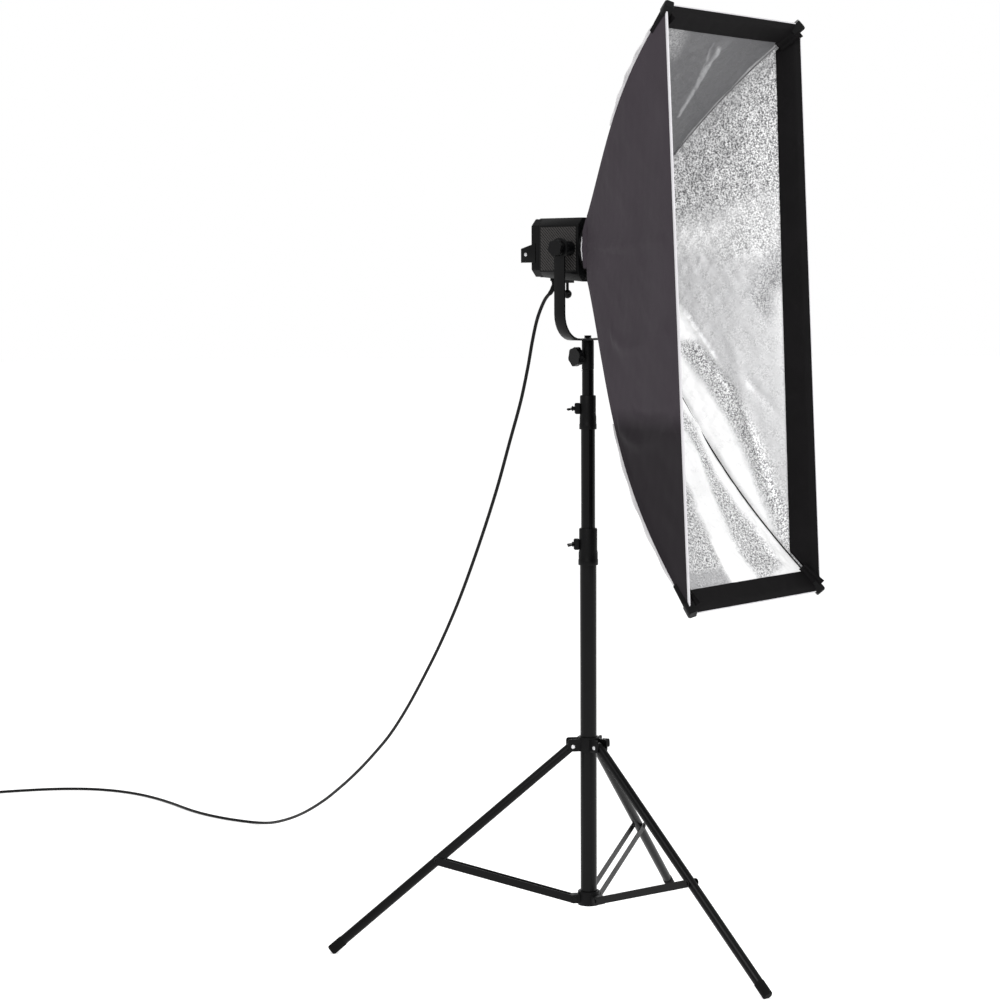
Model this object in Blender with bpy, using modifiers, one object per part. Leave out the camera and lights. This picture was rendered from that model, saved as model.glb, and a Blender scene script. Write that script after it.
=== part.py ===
"""Studio strip softbox on a three-section light stand: lamp head, tilting yoke, folding tripod and power cord."""

import math

import bmesh
import bpy
from mathutils import Matrix, Vector

# Driving dimensions, in metres. Z = 0 is the floor, and the lamp shines towards -Y.
OBJECT_NAME = "studio_softbox"
GAP = 0.0003  # air between pieces that touch on the real object

# The origin is the middle of the box round the object, so the mast stands beside it.
MAST_X = -0.0604
MAST_Y = 0.0716

# Mast sections: outer radius, inner radius, lowest and highest point
BASE_TUBE = (0.0165, 0.0150, 0.084, 0.829)
MID_TUBE = (0.0140, 0.0126, 0.325, 1.094)
TOP_TUBE = (0.01175, 0.0105, 0.405, 1.146)
END_CAP_LOW = 0.078
END_CAP_HIGH = 0.100

# Clamps: lowest, highest point and outer radius at the lip and at the top
BASE_CLAMP = (0.764, 0.837, 0.0197, 0.0180)
MID_CLAMP = (1.033, 1.100, 0.0172, 0.0158)
CLAMP_KNOB_ANGLE = 130.0
COLLAR_KNOB_ANGLE = -43.7

# Folding tripod
LEG_ANGLES = (-103.7, 16.3, 136.3)
PIN_RADIUS = 0.033  # from the mast axis to a leg pin or a brace pin
LEG_PIN_Z = 0.402
BRACE_PIN_Z = 0.093
FOOT_END_RADIUS = 0.5179  # from the mast axis to the middle of a foot's end
FOOT_END_Z = 0.005
LEG_TUBE_RADIUS = 0.0095
LEG_WALL = 0.0013
FOOT_RADIUS = 0.0104
FOOT_CAP = 0.032
BRACE_ON_LEG = 0.3518  # along the leg from its pin to the brace's outer rivet
BRACE_BAR_WIDTH = 0.015
BRACE_BAR_THICKNESS = 0.0018
BRACE_BAR_INSIDE = 0.0109  # from the leg's middle plane to a bar
COLLAR = (0.392, 0.420)
BRACKET = (0.080, 0.108)
TONGUE = (0.0845, 0.1015)

# Yoke and lamp
SPIGOT_RADIUS = 0.0079
RECEIVER = (0.1503 + 1.0, 0.208 + 1.0)
RECEIVER_RADIUS = 0.0120
RECEIVER_KNOB_ANGLE = 162.4
YOKE_HALF_SPAN = 0.091
YOKE_STRAP = (0.0245, 0.004)
YOKE_BEND = 0.052
PIVOT_Z = 1.3875
LAMP_HALF_WIDTH = 0.058
LAMP_TOP = 0.060
LAMP_BOTTOM_REAR = -0.0555
LAMP_BOTTOM_FRONT = -0.0645
CASING_REAR = 0.076
CASING_FRONT = -0.020
PANEL_REAR = 0.094
LAMP_WALL = 0.0025

# Softbox: a 45 cm by 110 cm front whose long side hangs below the lamp's axis
SOFTBOX_WIDTH = 0.450
SOFTBOX_TOP = 0.4295
SOFTBOX_BOTTOM = -0.6692
FRONT_AT_AXIS = -0.3651
FRONT_LEAN = math.radians(2.75)
RING_CORNER = (0.060, 0.062)
RING_FRONT_Y = -0.053
FABRIC_REAR_Y = -0.043
BOW_TOP = 0.021
BOW_BOTTOM = 0.040
BOW_SKEW = 1.2
ROD_RADIUS = 0.002
ROD_INSET = 0.009
FABRIC = 0.0012
SEAM_INSET = 0.003
ROD_START = 0.016  # along a rod from the ring, then the depth it plugs in
ROD_PLUGGED = 0.022
PANEL_START = 0.029

# Cord: a 7 mm mains lead, from the gland under the lamp to a coil on the floor
CORD_RADIUS = 0.0035
CORD_POINTS = 78
COIL_CENTRE = (0.1268, 2.2866)
COIL_MEAN_RADIUS = 0.0400
COIL_HALF_WIDTH = 0.0105
COIL_HEIGHT = 0.0140
CORD_ROUTE = (
    (-0.0100, 0.0745, 1.3150),
    (0.0004, 0.1073, 1.2870),
    (0.0088, 0.1319, 1.2510),
    (0.0149, 0.1498, 1.2050),
    (0.0208, 0.1669, 1.1490),
    (0.0295, 0.1924, 1.0800),
    (0.0428, 0.2312, 0.9980),
    (0.0593, 0.2795, 0.8960),
    (0.0810, 0.3428, 0.7810),
    (0.1073, 0.4195, 0.6560),
    (0.1341, 0.4980, 0.5470),
    (0.1620, 0.5794, 0.4490),
    (0.1831, 0.6409, 0.3810),
    (0.2054, 0.7061, 0.3180),
    (0.2297, 0.7771, 0.2620),
    (0.2530, 0.8452, 0.2130),
    (0.2773, 0.9162, 0.1670),
    (0.3091, 1.0089, 0.1130),
    (0.3463, 1.1177, 0.0620),
    (0.3849, 1.2303, 0.0240),
    (0.4160, 1.3211, 0.0055),
    (0.4090, 1.4010, 0.0040),
    (0.4120, 1.4830, 0.0038),
    (0.4270, 1.5650, 0.0038),
    (0.4580, 1.6640, 0.0038),
    (0.4820, 1.7620, 0.0038),
    (0.4890, 1.8620, 0.0038),
    (0.4680, 1.9580, 0.0038),
    (0.4140, 2.0400, 0.0038),
    (0.3370, 2.1040, 0.0038),
    (0.2520, 2.1570, 0.0038),
    (0.1700, 2.2060, 0.0038),
    (0.1254, 2.2327, 0.0038),
)


def clear_scene():
    for obj in list(bpy.data.objects):
        bpy.data.objects.remove(obj, do_unlink=True)
    for collection in list(bpy.data.collections):
        bpy.data.collections.remove(collection)


def add_collection(name):
    collection = bpy.data.collections.new(name)
    bpy.context.scene.collection.children.link(collection)
    return collection


clear_scene()
PARTS = add_collection(OBJECT_NAME)
CUTTERS = add_collection("cutters")
CUTTERS.hide_render = True


def make_material(name, colour, roughness, metallic=0.0):
    material = bpy.data.materials.new(name)
    material.use_nodes = True
    shader = material.node_tree.nodes["Principled BSDF"]
    shader.inputs["Base Color"].default_value = (*colour, 1.0)
    shader.inputs["Roughness"].default_value = roughness
    shader.inputs["Metallic"].default_value = metallic
    return material


TUBE_BLACK = make_material("black_anodised_tube", (0.020, 0.020, 0.022), 0.38, 0.4)
CAST_BLACK = make_material("black_cast_fitting", (0.025, 0.025, 0.027), 0.55)
KNOB_BLACK = make_material("black_knob", (0.018, 0.018, 0.020), 0.50)
RUBBER = make_material("black_rubber", (0.022, 0.022, 0.022), 0.75)
STEEL = make_material("bright_steel", (0.70, 0.70, 0.70), 0.28, 1.0)
PAINTED_STEEL = make_material("black_painted_steel", (0.022, 0.022, 0.024), 0.42, 0.2)
CASING_BLACK = make_material("black_casing", (0.016, 0.016, 0.018), 0.40)
ALUMINIUM = make_material("bare_aluminium", (0.60, 0.61, 0.62), 0.35, 1.0)
EMITTER = make_material("yellow_emitter", (0.85, 0.70, 0.20), 0.40)
BOARD = make_material("green_board", (0.03, 0.18, 0.08), 0.50)
NYLON = make_material("charcoal_nylon", (0.075, 0.068, 0.078), 0.70)
CORD_BLACK = make_material("black_cord", (0.015, 0.015, 0.016), 0.55)


def mast_point(x, y, z):
    """A point given from the foot of the mast."""
    return Vector((MAST_X + x, MAST_Y + y, z))


def lamp_point(x, y, z):
    """A point given from the tilt axis, which crosses the mast."""
    return mast_point(x, y, PIVOT_Z + z)


def add_empty(name, location):
    empty = bpy.data.objects.new(name, None)
    empty.empty_display_size = 0.02
    empty.location = location
    PARTS.objects.link(empty)
    return empty


def place(name, mesh, matrix, material=None):
    """Links a mesh object: a sub-part if it has a material, otherwise a shape for a Boolean."""
    obj = bpy.data.objects.new(name, mesh)
    obj.matrix_world = matrix
    if material is None:
        CUTTERS.objects.link(obj)
        obj.hide_render = True
        obj.display_type = "WIRE"
    else:
        PARTS.objects.link(obj)
        mesh.materials.append(material)
    return obj


def to_mesh(name, bm):
    bmesh.ops.recalc_face_normals(bm, faces=bm.faces)
    mesh = bpy.data.meshes.new(name)
    bm.to_mesh(mesh)
    bm.free()
    mesh.shade_smooth()
    mesh.set_sharp_from_angle(angle=math.radians(40))
    return mesh


def axis_matrix(origin, z_axis, y_axis=None):
    """A frame at origin with its Z along z_axis and its Y near y_axis."""
    z = Vector(z_axis).normalized()
    near = Vector(y_axis) if y_axis is not None else z.orthogonal()
    x = near.cross(z).normalized()
    y = z.cross(x)
    turn = Matrix((x, y, z)).transposed().to_4x4()
    return Matrix.Translation(origin) @ turn


def box(name, low, high, material=None, matrix=None, bevel=0.0):
    bm = bmesh.new()
    bmesh.ops.create_cube(bm, size=1.0)
    low, high = Vector(low), Vector(high)
    size = high - low
    bmesh.ops.scale(bm, vec=size, verts=bm.verts)
    bmesh.ops.translate(bm, vec=(low + high) / 2, verts=bm.verts)
    obj = place(name, to_mesh(name, bm), matrix or Matrix(), material)
    if bevel:
        rounding = obj.modifiers.new("rounded_edges", "BEVEL")
        rounding.width = bevel
        rounding.segments = 1
    return obj


def cylinder(name, start, end, radius, material=None, sides=20, end_radius=None):
    start, end = Vector(start), Vector(end)
    bm = bmesh.new()
    far = radius if end_radius is None else end_radius
    length = (end - start).length
    bmesh.ops.create_cone(
        bm, cap_ends=True, segments=sides, radius1=radius, radius2=far, depth=length
    )
    return place(name, to_mesh(name, bm), axis_matrix((start + end) / 2, end - start), material)


def turned(name, profile, matrix, material=None, steps=24, ring=False):
    """A profile of (radius, height) turned about Z, its outer side running from top to bottom."""
    mesh = bpy.data.meshes.new(name)
    count = len(profile)
    edges = [(i, i + 1) for i in range(count - 1)]
    if ring:
        edges.append((count - 1, 0))
    mesh.from_pydata([(r, 0.0, z) for r, z in profile], edges, [])
    obj = place(name, mesh, matrix, material)
    screw = obj.modifiers.new("turned", "SCREW")
    screw.steps = steps
    screw.render_steps = steps
    screw.use_merge_vertices = True
    screw.merge_threshold = 0.00001
    return obj


def plate(name, outline, thickness, matrix, material=None):
    """A flat outline in X and Y, filled and given its thickness about Z = 0."""
    curve = bpy.data.curves.new(name, "CURVE")
    curve.dimensions = "2D"
    curve.fill_mode = "BOTH"
    curve.extrude = thickness / 2
    spline = curve.splines.new("POLY")
    spline.points.add(len(outline) - 1)
    for point, (x, y) in zip(spline.points, outline):
        point.co = (x, y, 0.0, 1.0)
    spline.use_cyclic_u = True
    return curve_to_mesh(name, curve, matrix, material)


def curve_to_mesh(name, curve, matrix, material):
    """Turns a curve into a closed mesh, so that a Boolean can use it."""
    source = bpy.data.objects.new(name + "_curve", curve)
    PARTS.objects.link(source)
    bpy.context.view_layer.update()
    graph = bpy.context.evaluated_depsgraph_get()
    mesh = bpy.data.meshes.new_from_object(source.evaluated_get(graph))
    bpy.data.objects.remove(source, do_unlink=True)
    bm = bmesh.new()
    bm.from_mesh(mesh)
    bmesh.ops.remove_doubles(bm, verts=bm.verts, dist=0.000001)
    bpy.data.meshes.remove(mesh)
    mesh = to_mesh(name, bm)
    mesh.materials.clear()
    return place(name, mesh, matrix, material)


def combine(obj, other, operation):
    modifier = obj.modifiers.new(operation.lower() + "_" + other.name, "BOOLEAN")
    modifier.operation = operation
    modifier.solver = "EXACT"
    modifier.object = other


def join(obj, *others):
    for other in others:
        combine(obj, other, "UNION")
    return obj


def cut(obj, *others):
    for other in others:
        combine(obj, other, "DIFFERENCE")
    return obj


def hang(parent, *objects):
    """Parents the objects where they are."""
    for obj in objects:
        obj.parent = parent
        obj.matrix_parent_inverse = Matrix.Translation(parent.location).inverted()


def arc(centre_x, centre_y, radius, start, end, steps):
    """Points on an arc from one angle to another, in degrees."""
    turns = [math.radians(start + (end - start) * i / steps) for i in range(steps + 1)]
    return [(centre_x + radius * math.cos(a), centre_y + radius * math.sin(a)) for a in turns]


def slot_outline(length, width, steps=6):
    """A bar with round ends, from x = 0 to x = length between the end centres."""
    half = width / 2
    return arc(0, 0, half, 90, 270, steps) + arc(length, 0, half, -90, 90, steps)


def outward(angle):
    turn = math.radians(angle)
    return Vector((math.cos(turn), math.sin(turn), 0.0))


def sideways(angle):
    return outward(angle + 90)


# ---------------------------------------------------------------- mast


def make_tube(name, section):
    outer, inner, low, high = section
    profile = [(outer, high), (outer, low), (inner, low), (inner, high)]
    return turned(name, profile, Matrix.Translation(mast_point(0, 0, 0)), TUBE_BLACK, ring=True)


def make_end_cap():
    outer, inner, low, _ = BASE_TUBE
    plug = inner - GAP
    profile = [(0, END_CAP_HIGH), (plug, END_CAP_HIGH), (plug, low - GAP), (outer, low - GAP)]
    profile += [(outer, END_CAP_LOW + 0.002), (outer - 0.002, END_CAP_LOW), (0, END_CAP_LOW)]
    return turned("mast_end_cap", profile, Matrix.Translation(mast_point(0, 0, 0)), RUBBER)


def make_clamp(name, section, lower_tube, upper_tube):
    """A clamp ring on the top of one section, round the next one, with a boss for its knob."""
    low, high, lip, top = section
    wide = lower_tube[0] + GAP
    narrow = upper_tube[0] + GAP
    shoulder = lower_tube[3] + GAP
    lip_height = 0.010
    profile = [(top - 0.001, high), (top, high - 0.002), (top, low + 0.030), (lip - 0.0006, low + 0.024)]
    profile += [(lip - 0.0006, low + lip_height + 0.001), (lip, low + lip_height), (lip, low)]
    profile += [(wide, low), (wide, shoulder), (narrow, shoulder), (narrow, high)]
    frame = Matrix.Translation(mast_point(0, 0, 0))
    clamp = turned(name, profile, frame, CAST_BLACK, steps=28, ring=True)
    knob_z = clamp_knob_height(section)
    side = axis_matrix(mast_point(0, 0, knob_z), outward(CLAMP_KNOB_ANGLE), (0, 0, 1))
    boss = box(
        name + "_boss", (-0.008, -0.011, wide + 0.0004), (0.008, 0.011, lip + 0.009), None, side, 0.002
    )
    join(clamp, boss)
    start = mast_point(0, 0, knob_z) + outward(CLAMP_KNOB_ANGLE) * (wide - 0.003)
    end = mast_point(0, 0, knob_z) + outward(CLAMP_KNOB_ANGLE) * (lip + 0.02)
    cut(clamp, cylinder(name + "_screw_hole", start, end, 0.0033))
    return clamp


def clamp_knob_height(section):
    return section[0] + 0.041


def make_clamp_knob(name, section, lower_tube):
    """A wing knob whose screw runs through the clamp's boss."""
    direction = outward(CLAMP_KNOB_ANGLE)
    centre = mast_point(0, 0, clamp_knob_height(section))
    boss_face = section[2] + 0.009
    tip = lower_tube[0] + GAP * 2
    knob = cylinder(
        name, centre + direction * tip, centre + direction * (boss_face + 0.004), 0.003, KNOB_BLACK, 12
    )
    hub_start = centre + direction * (boss_face + GAP)
    hub = cylinder(name + "_hub", hub_start, hub_start + direction * 0.009, 0.0068)
    wing_frame = axis_matrix(centre + direction * (boss_face + 0.0085), direction, (0, 0, 1))
    wing_frame = wing_frame @ Matrix.Rotation(math.radians(62), 4, "Z")
    outline = slot_outline(0.034, 0.011)
    wing = plate(name + "_wing", [(x - 0.017, y) for x, y in outline], 0.0055, wing_frame)
    return join(knob, hub, wing)


# ---------------------------------------------------------------- tripod


def leg_direction(angle):
    drop = LEG_PIN_Z - FOOT_END_Z
    reach = FOOT_END_RADIUS - PIN_RADIUS
    return (outward(angle) * reach - Vector((0, 0, drop))).normalized()


def leg_length():
    return math.hypot(FOOT_END_RADIUS - PIN_RADIUS, LEG_PIN_Z - FOOT_END_Z)


def leg_frame(angle):
    """Origin on the leg's pin, Z back up along the leg, Y along the pin."""
    hinge = mast_point(0, 0, LEG_PIN_Z) + outward(angle) * PIN_RADIUS
    return axis_matrix(hinge, -leg_direction(angle), sideways(angle))


def make_leg(number, angle):
    radius = LEG_TUBE_RADIUS
    bore = radius - LEG_WALL
    length = leg_length() - 0.004
    dome = [(radius * math.sin(a), radius * math.cos(a)) for a in (i * math.pi / 12 for i in range(7))]
    profile = dome + [(radius, -length), (bore, -length), (bore, -0.016), (0, -0.016)]
    leg = turned(f"leg_{number}", profile, leg_frame(angle), TUBE_BLACK, steps=20)
    return cut(leg, pin_cutter(f"leg_{number}_pin_hole", angle, LEG_PIN_Z, 0.0028))


def pin_cutter(name, angle, height, radius, half=0.03):
    middle = mast_point(0, 0, height) + outward(angle) * PIN_RADIUS
    return cylinder(
        name, middle - sideways(angle) * half, middle + sideways(angle) * half, radius, sides=16
    )


def make_foot(number, angle):
    """A rubber cap on the leg's end, cut flat where it stands on the floor."""
    length = leg_length()
    outer = FOOT_RADIUS
    bore = LEG_TUBE_RADIUS + GAP
    chamfer = 0.002
    inside = -(length - 0.004 + GAP)
    profile = [(outer, -length + FOOT_CAP), (outer, -length + chamfer), (outer - chamfer, -length)]
    profile += [(0, -length), (0, inside), (bore, inside), (bore, -length + FOOT_CAP)]
    foot = turned(
        f"foot_{number}", profile, leg_frame(angle), RUBBER, steps=20, ring=True
    )
    floor = box(f"foot_{number}_floor", (-1, -1, -0.1), (1, 1, 0.0))
    return cut(foot, floor)


def make_leg_pin(number, angle):
    """A headed pin through the collar's ears and the leg."""
    middle = mast_point(0, 0, LEG_PIN_Z) + outward(angle) * PIN_RADIUS
    half = 0.0150
    head_start = 0.0131 + GAP
    frame = axis_matrix(middle, sideways(angle), (0, 0, 1))
    profile = [
        (0, half), (0.0030, half), (0.0042, half - 0.0010), (0.0042, head_start), (0.0025, head_start)
    ]
    profile += [(r, -z) for r, z in reversed(profile)]
    return turned(f"leg_pin_{number}", profile, frame, STEEL, steps=16)


def make_collar():
    """The sliding hub: a ring on the base tube with a pair of ears for each leg."""
    low, high = COLLAR
    bore = BASE_TUBE[0] + 0.0004
    outer = 0.0225
    profile = [(outer - 0.0015, high), (outer, high - 0.0015), (outer, low), (bore, low), (bore, high)]
    collar = turned(
        "leg_collar", profile, Matrix.Translation(mast_point(0, 0, 0)), CAST_BLACK, steps=32, ring=True
    )
    outline = [(0.0185, low), (0.0375, low)]
    outline += arc(0.0375, low + 0.006, 0.006, -90, 0, 4)[1:]
    outline += arc(0.0385, high - 0.008, 0.005, 0, 90, 4)
    outline += [(0.0185, high - 0.003)]
    for number, angle in enumerate(LEG_ANGLES, 1):
        for side in (-1, 1):
            middle = mast_point(0, 0, 0) + sideways(angle) * side * 0.0116
            frame = axis_matrix(middle, -sideways(angle), (0, 0, 1))
            join(collar, plate(f"collar_ear_{number}_{side}", outline, 0.003, frame))
        cut(collar, pin_cutter(f"collar_pin_hole_{number}", angle, LEG_PIN_Z, 0.0028))
    knob_line = mast_point(0, 0, (low + high) / 2)
    direction = outward(COLLAR_KNOB_ANGLE)
    boss = cylinder("collar_boss", knob_line + direction * 0.0195, knob_line + direction * 0.029, 0.0075)
    join(collar, boss)
    hole = cylinder(
        "collar_screw_hole", knob_line + direction * 0.012, knob_line + direction * 0.04, 0.0033
    )
    cut(collar, hole)
    return collar


def make_collar_knob():
    low, high = COLLAR
    centre = mast_point(0, 0, (low + high) / 2)
    direction = outward(COLLAR_KNOB_ANGLE)
    start = centre + direction * (BASE_TUBE[0] + GAP * 2)
    knob = cylinder("collar_knob", start, centre + direction * 0.031, 0.003, KNOB_BLACK, 12)
    head_start = centre + direction * (0.029 + GAP)
    head = cylinder(
        "collar_knob_head", head_start, head_start + direction * 0.0125, 0.0095, sides=14, end_radius=0.0085
    )
    return join(knob, head)


def brace_matrix(angle):
    """Origin on the brace's inner rivet, X out along the brace, Z along the rivet."""
    inner = mast_point(0, 0, BRACE_PIN_Z) + outward(angle) * PIN_RADIUS
    along = brace_outer_point(angle) - inner
    return axis_matrix(inner, sideways(angle), sideways(angle).cross(along)), along.length


def brace_outer_point(angle):
    hinge = mast_point(0, 0, LEG_PIN_Z) + outward(angle) * PIN_RADIUS
    return hinge + leg_direction(angle) * BRACE_ON_LEG


def make_brace(number, angle):
    """Two flat bars astride the leg, held together by the inner rivet."""
    frame, length = brace_matrix(angle)
    middle = BRACE_BAR_INSIDE + BRACE_BAR_THICKNESS / 2
    head = middle + BRACE_BAR_THICKNESS / 2 + 0.0016
    outline = slot_outline(length, BRACE_BAR_WIDTH)
    bars = []
    for side in (-1, 1):
        shift = Matrix.Translation((0, 0, side * middle))
        material = PAINTED_STEEL if side < 0 else None
        name = f"brace_{number}" if side < 0 else f"brace_{number}_far_bar"
        bars.append(plate(name, outline, BRACE_BAR_THICKNESS, frame @ shift, material))
        start = frame @ Vector((length, 0, side * (middle - 0.0002)))
        bars.append(
            cylinder(
                f"brace_{number}_rivet_{side}", start,
                frame @ Vector((length, 0, side * head)), 0.004, sides=12
            )
        )
    ends = [frame @ Vector((0, 0, side * (head - 0.0012))) for side in (-1, 1)]
    rivet = cylinder(f"brace_{number}_inner_rivet", ends[0], ends[1], 0.002, sides=12)
    heads = []
    for side in (-1, 1):
        start = frame @ Vector((0, 0, side * (middle - 0.0002)))
        heads.append(
            cylinder(
                f"brace_{number}_head_{side}", start, frame @ Vector((0, 0, side * head)), 0.004, sides=12
            )
        )
    return join(bars[0], rivet, *bars[1:], *heads)


def make_bracket():
    """The fixed ring at the mast's foot, with a tongue for each brace."""
    low, high = BRACKET
    bore = BASE_TUBE[0] + GAP
    outer = 0.0220
    profile = [(outer - 0.001, high), (outer, high - 0.001), (outer, low), (bore, low), (bore, high)]
    bracket = turned(
        "lower_bracket", profile, Matrix.Translation(mast_point(0, 0, 0)), CAST_BLACK, steps=32, ring=True
    )
    half = (TONGUE[1] - TONGUE[0]) / 2
    middle = (TONGUE[0] + TONGUE[1]) / 2
    outline = [(0.0185, TONGUE[0])] + arc(PIN_RADIUS, middle, half, -90, 90, 8) + [(0.0185, TONGUE[1])]
    for number, angle in enumerate(LEG_ANGLES, 1):
        frame = axis_matrix(mast_point(0, 0, 0), -sideways(angle), (0, 0, 1))
        join(bracket, plate(f"bracket_tongue_{number}", outline, 0.0204, frame))
        cut(bracket, pin_cutter(f"bracket_pin_hole_{number}", angle, BRACE_PIN_Z, 0.0024))
    return bracket


# ---------------------------------------------------------------- yoke


def make_spigot():
    """The stud that the yoke's receiver turns on, plugged into the top tube."""
    top = TOP_TUBE[3]
    plug = TOP_TUBE[1] - GAP
    stud_top = RECEIVER[0] + 0.046
    profile = [(0, stud_top), (SPIGOT_RADIUS - 0.001, stud_top), (SPIGOT_RADIUS, stud_top - 0.001)]
    profile += [(SPIGOT_RADIUS, top + 0.004), (TOP_TUBE[0], top + 0.004), (TOP_TUBE[0], top + GAP)]
    profile += [(plug, top + GAP), (plug, top - 0.026), (0, top - 0.026)]
    return turned("top_spigot", profile, Matrix.Translation(mast_point(0, 0, 0)), STEEL)


def make_receiver():
    low, high = RECEIVER
    bore = SPIGOT_RADIUS + GAP
    outer = RECEIVER_RADIUS
    bolt = 0.0033
    ceiling = high - 0.010
    profile = [(outer - 0.001, high), (outer, high - 0.001), (outer, low + 0.001), (outer - 0.001, low)]
    profile += [(bore, low), (bore, ceiling), (bolt, ceiling), (bolt, high)]
    receiver = turned(
        "yoke_receiver", profile, Matrix.Translation(mast_point(0, 0, 0)), CAST_BLACK, steps=28, ring=True
    )
    centre = mast_point(0, 0, receiver_knob_height())
    direction = outward(RECEIVER_KNOB_ANGLE)
    boss = cylinder("receiver_boss", centre + direction * 0.010, centre + direction * 0.018, 0.008)
    hole = cylinder("receiver_hole", centre + direction * 0.005, centre + direction * 0.03, 0.0033)
    return cut(join(receiver, boss), hole)


def receiver_knob_height():
    return RECEIVER[0] + 0.026


def lobed_outline(radius, lobes, depth, steps=48):
    """A circle whose rim waves in and out."""
    turns = [2 * math.pi * i / steps for i in range(steps)]
    radii = [radius - depth * (0.5 + 0.5 * math.cos(lobes * a)) for a in turns]
    return [(r * math.cos(a), r * math.sin(a)) for r, a in zip(radii, turns)]


def make_lobed_knob(name, centre, direction, screw_start, face, radius, thickness, screw_radius=0.003):
    """A hand knob: its screw starts at screw_start and its rim is past the boss's face."""
    knob = cylinder(
        name, centre + direction * screw_start,
        centre + direction * (face + 0.003), screw_radius, KNOB_BLACK, 12
    )
    collar = cylinder(
        name + "_neck", centre + direction * (face + GAP), centre + direction * (face + 0.006), radius * 0.5
    )
    middle = centre + direction * (face + 0.005 + thickness / 2)
    rim = plate(
        name + "_rim", lobed_outline(radius, 6, radius * 0.12), thickness, axis_matrix(middle, direction)
    )
    return join(knob, collar, rim)


def make_yoke_strap():
    """A flat strap bent into a U, with round heads at the tilt axis."""
    width, thick = YOKE_STRAP
    half = YOKE_HALF_SPAN
    low = RECEIVER[1] + GAP
    bend = YOKE_BEND
    top = PIVOT_Z
    outer = half + thick / 2
    inner = half - thick / 2
    outside = [(-outer, top)] + arc(-outer + bend, low + bend, bend, 180, 270, 8)
    outside += arc(outer - bend, low + bend, bend, 270, 360, 8) + [(outer, top)]
    inside = [(inner, top)] + arc(outer - bend, low + bend, bend - thick, 360, 270, 8)
    inside += arc(-outer + bend, low + bend, bend - thick, 270, 180, 8) + [(-inner, top)]
    frame = axis_matrix(mast_point(0, 0, 0), (0, -1, 0), (0, 0, 1))
    strap = plate("yoke_strap", outside + inside, width, frame, PAINTED_STEEL)
    for side in (-1, 1):
        start = lamp_point(side * inner, 0, 0)
        join(strap, cylinder(f"yoke_head_{side}", start, lamp_point(side * outer, 0, 0), 0.020, sides=32))
    cut(strap, cylinder("yoke_pivot_hole", lamp_point(-0.2, 0, 0), lamp_point(0.2, 0, 0), 0.0054))
    cut(
        strap, cylinder(
            "yoke_bolt_hole", mast_point(0, 0, low - 0.02), mast_point(0, 0, low + 0.02), 0.0036
        )
    )
    return strap


def make_yoke_bolt():
    """The hex-headed bolt that holds the yoke on its receiver."""
    seat = RECEIVER[1] + GAP + YOKE_STRAP[1] + GAP
    bolt = cylinder(
        "yoke_bolt", mast_point(0, 0, RECEIVER[1] - 0.009), mast_point(0, 0, seat + 0.001), 0.003, STEEL, 12
    )
    head = cylinder(
        "yoke_bolt_head", mast_point(0, 0, seat), mast_point(0, 0, seat + 0.0052), 0.0074, sides=6
    )
    return join(bolt, head)


# ---------------------------------------------------------------- lamp


def lamp_section(y, shrink=1.0):
    """The lamp's outline at a distance y behind the tilt axis: a box with cut corners."""
    share = (CASING_REAR - y) / (CASING_REAR - CASING_FRONT)
    bottom = LAMP_BOTTOM_REAR + (LAMP_BOTTOM_FRONT - LAMP_BOTTOM_REAR) * max(0.0, min(1.0, share))
    half, corner = LAMP_HALF_WIDTH, 0.014
    points = [
        (-half, bottom + corner), (-half + corner, bottom), (half - corner, bottom), (half, bottom + corner)
    ]
    points += [
        (half, LAMP_TOP - corner), (half - corner, LAMP_TOP),
        (-half + corner, LAMP_TOP), (-half, LAMP_TOP - corner)
    ]
    return [(x * shrink, y, z * shrink) for x, z in points]


def make_loft(name, rings, wall, material):
    """A skin through rings of points, open at its first ring unless it is a tube, given its wall inwards."""
    bm = bmesh.new()
    loops = [[bm.verts.new(lamp_point(*p)) for p in ring] for ring in rings]
    count = len(loops[0])
    for first, second in zip(loops, loops[1:]):
        for i in range(count):
            j = (i + 1) % count
            bm.faces.new((first[i], first[j], second[j], second[i]))
    return bm, loops, wall, name, material


def finish_shell(loft, closed_end):
    bm, loops, wall, name, material = loft
    if closed_end:
        bm.faces.new(loops[-1])
    bmesh.ops.recalc_face_normals(bm, faces=bm.faces)
    mesh = bpy.data.meshes.new(name)
    outward_side = sum(f.normal.dot(f.calc_center_median() - lamp_point(0, 0.02, 0)) for f in bm.faces)
    if outward_side < 0:
        bmesh.ops.reverse_faces(bm, faces=bm.faces)
    bm.to_mesh(mesh)
    bm.free()
    obj = place(name, mesh, Matrix(), material)
    shell = obj.modifiers.new("wall", "SOLIDIFY")
    shell.thickness = wall
    shell.offset = -1
    shell.use_even_offset = True
    return obj


def make_casing():
    rings = [lamp_section(y) for y in (CASING_FRONT, CASING_REAR)]
    casing = finish_shell(make_loft("lamp_casing", rings, LAMP_WALL, CASING_BLACK), False)
    for side in (-1, 1):
        start = lamp_point(side * (LAMP_HALF_WIDTH - 0.0015), 0, 0)
        face = YOKE_HALF_SPAN - YOKE_STRAP[1] / 2 - GAP
        boss = cylinder(f"tilt_boss_{side}", start, lamp_point(side * face, 0, 0), 0.0140, sides=24)
        join(casing, boss)
    origin = Matrix.Translation(lamp_point(0, 0, 0))
    block = box("umbrella_block", (-0.009, 0.040, -0.0665), (0.009, 0.060, -0.0560), None, origin)
    cut(
        block, cylinder(
            "umbrella_hole", lamp_point(0, 0.050, -0.0590), lamp_point(0, 0.050, -0.09), 0.0034, sides=16
        )
    )
    return join(casing, block)


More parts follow.
